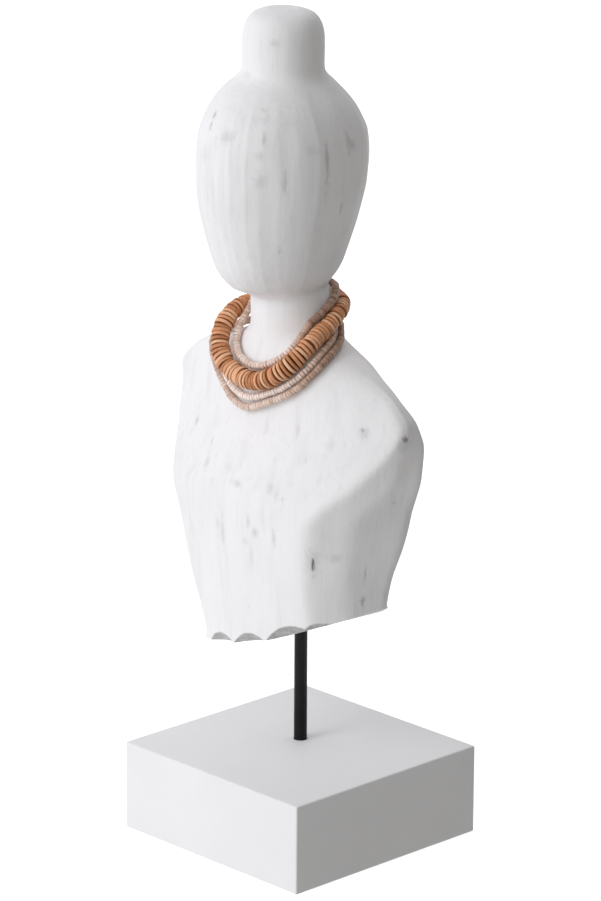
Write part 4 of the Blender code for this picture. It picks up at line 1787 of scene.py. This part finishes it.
@dataclass
class BeadStrand:
    """A closed strand of beads that are threaded tight.

    Attributes:
        piece: The piece's name.
        node: The solid that it stands for.
        slot: Name of a material slot, which is not used.
        keys: Height from the torso's top at bearings round the neck.
        bulge: How far it stands off the left of the neck.
        front_radius: Radius of the beads in front.
        back_radius: Radius of the beads behind.
        pitch: Length that one bead takes along the strand.
        rim: Profile of half a bead, as (radius share, half thickness share, rim value).
        sides: How many sides each bead has.
        wobble: How far beads vary in place, tilt and size.
        tone: Middle of the beads' tones and how far they vary.
        seed: Where its random draws start.
        most: How far its beads differ where its wobble is 1.
        crease: Angle from which its edges stay sharp, in degrees.
    """

    piece: str
    node: str
    slot: str
    keys: Keys
    bulge: float
    front_radius: float
    back_radius: float
    pitch: float
    rim: tuple[Point, ...]
    sides: int
    wobble: float
    tone: Span
    seed: int
    most: Wobble = Wobble()
    crease: float = 50.0

    def radius_at(self, point: Vector) -> float:
        """Return the beads' radius at a place round the neck.

        Args:
            point: The place, in the bust's frame.

        Returns:
            The radius, which is greatest in front.
        """
        neck_set = BustForm.neck_set
        ahead = (neck_set - point.y) / math.hypot(point.x, point.y - neck_set)
        return self.back_radius + (self.front_radius - self.back_radius) * ease(0.5 + 0.5 * ahead)

    def tone_at(self, point: Vector, dice: random.Random) -> float:
        """Return a bead's tone, from 0 dark to 1 pale."""
        return self.tone[0] + dice.uniform(-self.tone[1], self.tone[1])

    @staticmethod
    def spaced(route: list[Vector], count: int) -> list[Vector]:
        """Return a number of points at an even spacing along a closed route.

        Args:
            route: The route's points.
            count: How many points are wanted.

        Returns:
            The points.
        """
        closed = route + [route[0]]
        lengths = [(b - a).length for a, b in zip(closed, closed[1:])]
        total = sum(lengths)
        points = []
        index, walked = 0, 0.0
        for number in range(count):
            goal = total * number / count
            while walked + lengths[index] < goal:
                walked += lengths[index]
                index += 1
            points.append(closed[index].lerp(closed[index + 1], (goal - walked) / lengths[index]))
        return points

    def build(self, path: StrandPath, finish: bpy.types.Material) -> bpy.types.Object:
        """Lay the strand, thread its beads and dress them.

        Args:
            path: Where strands are laid.
            finish: The beads' material.

        Returns:
            The strand as one piece.
        """
        route = path.lay(self.keys, self.bulge, self.radius_at)
        length = sum((b - a).length for a, b in zip(route, route[1:] + route[:1]))
        count = round(length / self.pitch)
        points = self.spaced(route, count)
        beads = BeadMesh()
        dice = random.Random(self.seed)
        for index, point in enumerate(points):
            along = (points[(index + 1) % count] - points[index - 1]).normalized()
            self.thread(beads, point, along, length / count, dice)
        place = path.form.place()
        beads.vertices = [place @ corner for corner in beads.vertices]
        mesh = beads.made(self.piece)
        mesh.materials.append(finish)
        shade_round(mesh, self.crease)
        return new_piece(self.piece, mesh, (self.node,))

    def thread(self, beads: BeadMesh, point: Vector, along: Vector, pitch: float,
               dice: random.Random) -> None:
        """Add one bead to the strand's mesh.

        Args:
            beads: The strand's mesh.
            point: The bead's place on the strand.
            along: The strand's direction there.
            pitch: Length that the bead takes.
            dice: The strand's random draws.
        """
        most, wobble = self.most, self.wobble
        radius = self.radius_at(point) * (1.0 - wobble * dice.uniform(0.0, most.smaller))
        tone = self.tone_at(point, dice)
        lean = wobble * most.lean
        axis = (along + Vector([dice.uniform(-lean, lean) for _ in range(3)])).normalized()
        side = axis.cross(UP).normalized()
        lift = side.cross(axis)
        shift = wobble * most.shift
        middle = point + side * dice.uniform(-shift, shift) + lift * dice.uniform(-shift, shift)
        thickness = 0.5 * pitch * (1.0 + wobble * dice.uniform(*most.thickness))
        phase = dice.uniform(*ANY_TURN)
        oval = 1.0 + wobble * dice.uniform(-most.oval, most.oval)
        profile = [(share, -half, rim) for share, half, rim in self.rim]
        profile += [(share, half, rim) for share, half, rim in reversed(self.rim)]
        start = len(beads.vertices)
        for share, offset, rim in profile:
            for step in range(self.sides):
                angle = phase + 2.0 * math.pi * step / self.sides
                spoke = side * math.cos(angle) * oval + lift * math.sin(angle) / oval
                beads.vertices.append(middle + spoke * radius * share + axis * offset * thickness)
                beads.tones.append(tone)
                beads.rims.append(rim)
        beads.close(start, len(profile), self.sides)


class ShellStrand(BeadStrand):
    """A thin strand whose beads turn greyer and browner towards the sides.

    Its darkening on each side starts at a bearing, takes an arc in degrees to be whole, and then
    takes so much off the tone. On the right side, which faces away from the light, it is painted shade.
    """

    # Painted shade on the right side, which faces away from the light.
    painted_shade_right: Point = (38.0, 45.0, 0.50)
    darker_left: Point = (28.0, 40.0, 0.28)

    def tone_at(self, point: Vector, dice: random.Random) -> float:
        """Return a bead's tone, darker away from the front, with painted shade on the right side.

        Args:
            point: The bead's place, in the bust's frame.
            dice: The strand's random draws.

        Returns:
            The tone, from 0 dark to 1 pale.
        """
        tone = super().tone_at(point, dice)
        bearing = math.degrees(math.atan2(point.x, BustForm.neck_set - point.y))
        # Takes the painted shade off the tone on the right, and a plain darkening on the left.
        for turned, (start, arc, amount) in ((bearing, self.painted_shade_right), (-bearing, self.darker_left)):
            tone -= amount * ease((turned - start) / arc)
        return tone


COCONUT_KEYS: Keys = (
    (-180, 0.0120), (-150, 0.0125), (-120, 0.0120), (-95, 0.0085), (-75, 0.0005),
    (-60, -0.0070), (-50, -0.0143), (-35, -0.0235), (-15, -0.0277), (0, -0.0287),
    (15, -0.0284), (35, -0.0247), (50, -0.0195), (60, -0.0150), (70, -0.0095),
    (90, 0.0020), (110, 0.0090), (135, 0.0115), (180, 0.0120),
)
INNER_KEYS: Keys = (
    (-180, 0.0205), (-150, 0.0205), (-120, 0.0195), (-95, 0.0145), (-75, 0.0070),
    (-60, -0.0005), (-50, -0.0075), (-35, -0.0160), (-15, -0.0213), (5, -0.0228),
    (20, -0.0216), (35, -0.0182), (50, -0.0130), (70, -0.0030), (90, 0.0085),
    (110, 0.0165), (135, 0.0200), (180, 0.0205),
)
MIDDLE_KEYS: Keys = (
    (-180, 0.0035), (-150, 0.0025), (-120, -0.0015), (-95, -0.0070), (-75, -0.0145),
    (-60, -0.0220), (-50, -0.0293), (-35, -0.0380), (-15, -0.0415), (5, -0.0405),
    (20, -0.0372), (35, -0.0315), (50, -0.0247), (65, -0.0163), (80, -0.0090),
    (95, -0.0035), (110, 0.0010), (140, 0.0037), (180, 0.0035),
)
OUTER_KEYS: Keys = (
    (-180, -0.0020), (-150, -0.0030), (-120, -0.0060), (-95, -0.0100), (-75, -0.0177),
    (-60, -0.0257), (-50, -0.0345), (-35, -0.0453), (-15, -0.0480), (5, -0.0465),
    (20, -0.0425), (35, -0.0359), (50, -0.0285), (65, -0.0203), (80, -0.0140),
    (95, -0.0090), (110, -0.0047), (140, -0.0020), (180, -0.0020),
)


@dataclass
class Necklace:
    """The thick strand of coconut discs and the thin shell strands beside it."""

    form: BustForm
    disc_front: float = 0.0061
    disc_back: float = 0.0049
    disc_pitch: float = 0.0025
    disc_rim: tuple[Point, ...] = (
        (0.78, 0.98, 0.0), (0.92, 0.89, 0.3), (0.975, 0.72, 0.8), (1.0, 0.42, 1.0))
    disc_sides: int = 28
    disc_wobble: float = 1.3
    disc_tone: Span = (0.56, 0.38)
    disc_bulge: float = 0.0075
    disc_seed: int = 11
    shell_radius: float = 0.0022
    shell_pitch: float = 0.0021
    shell_rim: tuple[Point, ...] = ((0.89, 0.99, 0.0), (0.97, 0.86, 0.6), (1.0, 0.50, 1.0))
    shell_sides: int = 16
    shell_wobble: float = 0.55
    shell_variety: float = 0.14

    def coconut(self) -> BeadStrand:
        """Return the thick strand."""
        return BeadStrand(
            "coconut_disc_strand", "coconut_strand", "coconut_discs", COCONUT_KEYS, self.disc_bulge,
            self.disc_front, self.disc_back, self.disc_pitch, self.disc_rim, self.disc_sides,
            self.disc_wobble, self.disc_tone, self.disc_seed)

    def shells(self) -> list[ShellStrand]:
        """Return the thin strands, in the order in which they are laid."""
        rows = (
            ("inner", INNER_KEYS, 0.0035, 0.74, 21),
            ("middle", MIDDLE_KEYS, 0.0, 0.96, 22),
            ("outer", OUTER_KEYS, 0.0, 0.70, 23),
        )
        return [
            ShellStrand(f"shell_bead_strand_{name}", f"shell_strand_{name}", "shell_beads", keys, bulge,
                        self.shell_radius, self.shell_radius, self.shell_pitch, self.shell_rim,
                        self.shell_sides, self.shell_wobble, (tone, self.shell_variety), seed)
            for name, keys, bulge, tone, seed in rows
        ]

    def build(self) -> list[bpy.types.Object]:
        """Build and dress all strands."""
        path = StrandPath(self.form, self.form.plain_tree())
        pieces = [self.coconut().build(path, CoconutShell().material())]
        shell = PaleShell().material()
        return pieces + [strand.build(path, shell) for strand in self.shells()]


@dataclass(frozen=True)
class RoomSide:
    """A part of the room's walls.

    Attributes:
        bearing: Bearing of its middle from the front over the right, in degrees.
        height: Height of its middle from the level, in degrees.
        spread: Cosines of the turns from its middle at which it starts and is whole.
        light: How much light it gives.
    """

    bearing: float
    height: float
    spread: Span
    light: float

    def facing(self, kit: NodeKit, towards: Socket) -> Socket:
        """Return how far a direction turns to its middle, as a cosine.

        Args:
            kit: The room's shader nodes.
            towards: The direction.

        Returns:
            The cosine.
        """
        bearing, height = math.radians(self.bearing), math.radians(self.height)
        across = math.cos(height)
        middle = (across * math.sin(bearing), -across * math.cos(bearing), math.sin(height))
        return kit.vectors("DOT_PRODUCT", towards, middle, result="Value")

    def glow(self, kit: NodeKit, towards: Socket) -> Socket:
        """Return the light that it gives from a direction."""
        return kit.spread(self.facing(kit, towards), self.spread, (0.0, self.light))


@dataclass
class Studio:
    """The pale floor in a white studio with a soft lamp in front and a dark side to the right.

    Attributes:
        floor_size: Length of each side of the floor.
        low_light: Light of the walls below.
        high_light: Light of the walls above.
        rise: Sines of the heights between which the one turns into the other.
        overhead: Sines of the heights between which the ceiling takes over.
        overhead_share: Light straight overhead, as a share of the walls' own.
        front: The brighter walls in front.
        lamp: The soft lamp.
        dark: The dark side.
        cool: Tint of the light from the side away from the dark one.
        warm: Tint of the light from the dark side.
        warming: Cosines of the turns from the dark side between which the tint changes.
        backdrop_colour: Colour of the room as it is seen.
        backdrop: Its strength.
    """

    floor_size: float = 40.0
    low_light: float = 0.730
    high_light: float = 1.225
    rise: Span = (-0.053, 0.359)
    overhead: Span = (0.300, 1.0)
    overhead_share: float = 0.318
    front: RoomSide = RoomSide(36.8, 8.1, (-0.029, 0.98), 0.136)
    lamp: RoomSide = RoomSide(-12.0, 32.0, (0.955, 0.995), 4.0)
    dark: RoomSide = RoomSide(100.9, -2.2, (0.502, 0.773), 0.005)
    cool: Colour = (0.990, 0.985, 1.030)
    warm: Colour = (1.000, 0.985, 0.968)
    warming: Span = (-0.5, 0.6)
    backdrop_colour: Colour = (1.0, 1.0, 1.0)
    backdrop: float = 1.2

    def build(self) -> None:
        """Build the floor and the light round it."""
        self.lay_floor()
        self.light_room()
        bpy.context.scene.view_settings.view_transform = "Standard"

    def lay_floor(self) -> None:
        """Lay the plain floor."""
        half = self.floor_size / 2.0
        mesh = bpy.data.meshes.new("studio_floor")
        corners = [(-half, -half, 0.0), (half, -half, 0.0), (half, half, 0.0), (-half, half, 0.0)]
        mesh.from_pydata(corners, [], [(0, 1, 2, 3)])
        mesh.materials.append(FloorWhite().material())
        floor = bpy.data.objects.new("studio_floor", mesh)
        bpy.context.collection.objects.link(floor)
        floor.visible_diffuse = False
        floor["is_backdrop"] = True

    def light_room(self) -> None:
        """Light the room from its white walls, most from the front and least from the dark side."""
        world = bpy.data.worlds.new("white_studio")
        world.use_nodes = True
        kit = NodeKit(world.node_tree)
        towards = kit.add("TexCoord", {}).outputs["Generated"]
        height = kit.add("SeparateXYZ", {0: towards}).outputs["Z"]
        walls = kit.spread(height, self.rise, (self.low_light, self.high_light))
        ceiling = kit.spread(height, self.overhead, (1.0, self.overhead_share))
        ahead = kit.maths("ADD", self.front.glow(kit, towards), self.lamp.glow(kit, towards))
        side = self.dark.facing(kit, towards)
        seen = kit.spread(side, self.dark.spread, (1.0, 0.0))
        light = kit.maths("MULTIPLY_ADD", walls, ceiling, ahead)
        light = kit.maths("MULTIPLY_ADD", light, seen, self.dark.light)
        tint = kit.mix(kit.spread(side, self.warming), self.cool, self.warm)
        background = kit.tree.nodes["Background"]
        kit.join(tint, background.inputs["Color"])
        kit.join(light, background.inputs["Strength"])
        self.whiten_backdrop(kit, background)
        bpy.context.scene.world = world

    def whiten_backdrop(self, kit: NodeKit, background: bpy.types.Node) -> None:
        """Let the room itself look as plain white as the floor, whatever light it gives.

        Args:
            kit: The room's shader nodes.
            background: The light that the room gives.
        """
        plain = kit.add("Background", {"Color": self.backdrop_colour, "Strength": self.backdrop})
        seen = kit.add("LightPath", {}).outputs["Is Camera Ray"]
        either = kit.add("MixShader", {"Fac": seen, 1: background.outputs[0], 2: plain.outputs[0]})
        kit.join(either.outputs[0], kit.tree.nodes["World Output"].inputs["Surface"])


def report(piece: bpy.types.Object) -> None:
    """Log a finished piece with the number of its faces."""
    LOG.info("made %s: %d faces", piece.name, len(piece.data.polygons))


def main() -> None:
    """Build the whole dressed ornament in order."""
    logging.basicConfig(level=logging.INFO, format="%(name)s: %(message)s")
    camera = PhotoCamera()
    camera.build()
    Studio().build()
    report(Plinth().build())
    report(Rod().build())
    form = BustForm()
    report(CarvedBust(form, camera).build())
    for piece in Necklace(form).build():
        report(piece)
    boxes = {"cad": CAD_BOX, "visual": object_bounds()}
    boxes = {name: [list(corner) for corner in box] for name, box in boxes.items()}


if __name__ == "__main__":
    main()
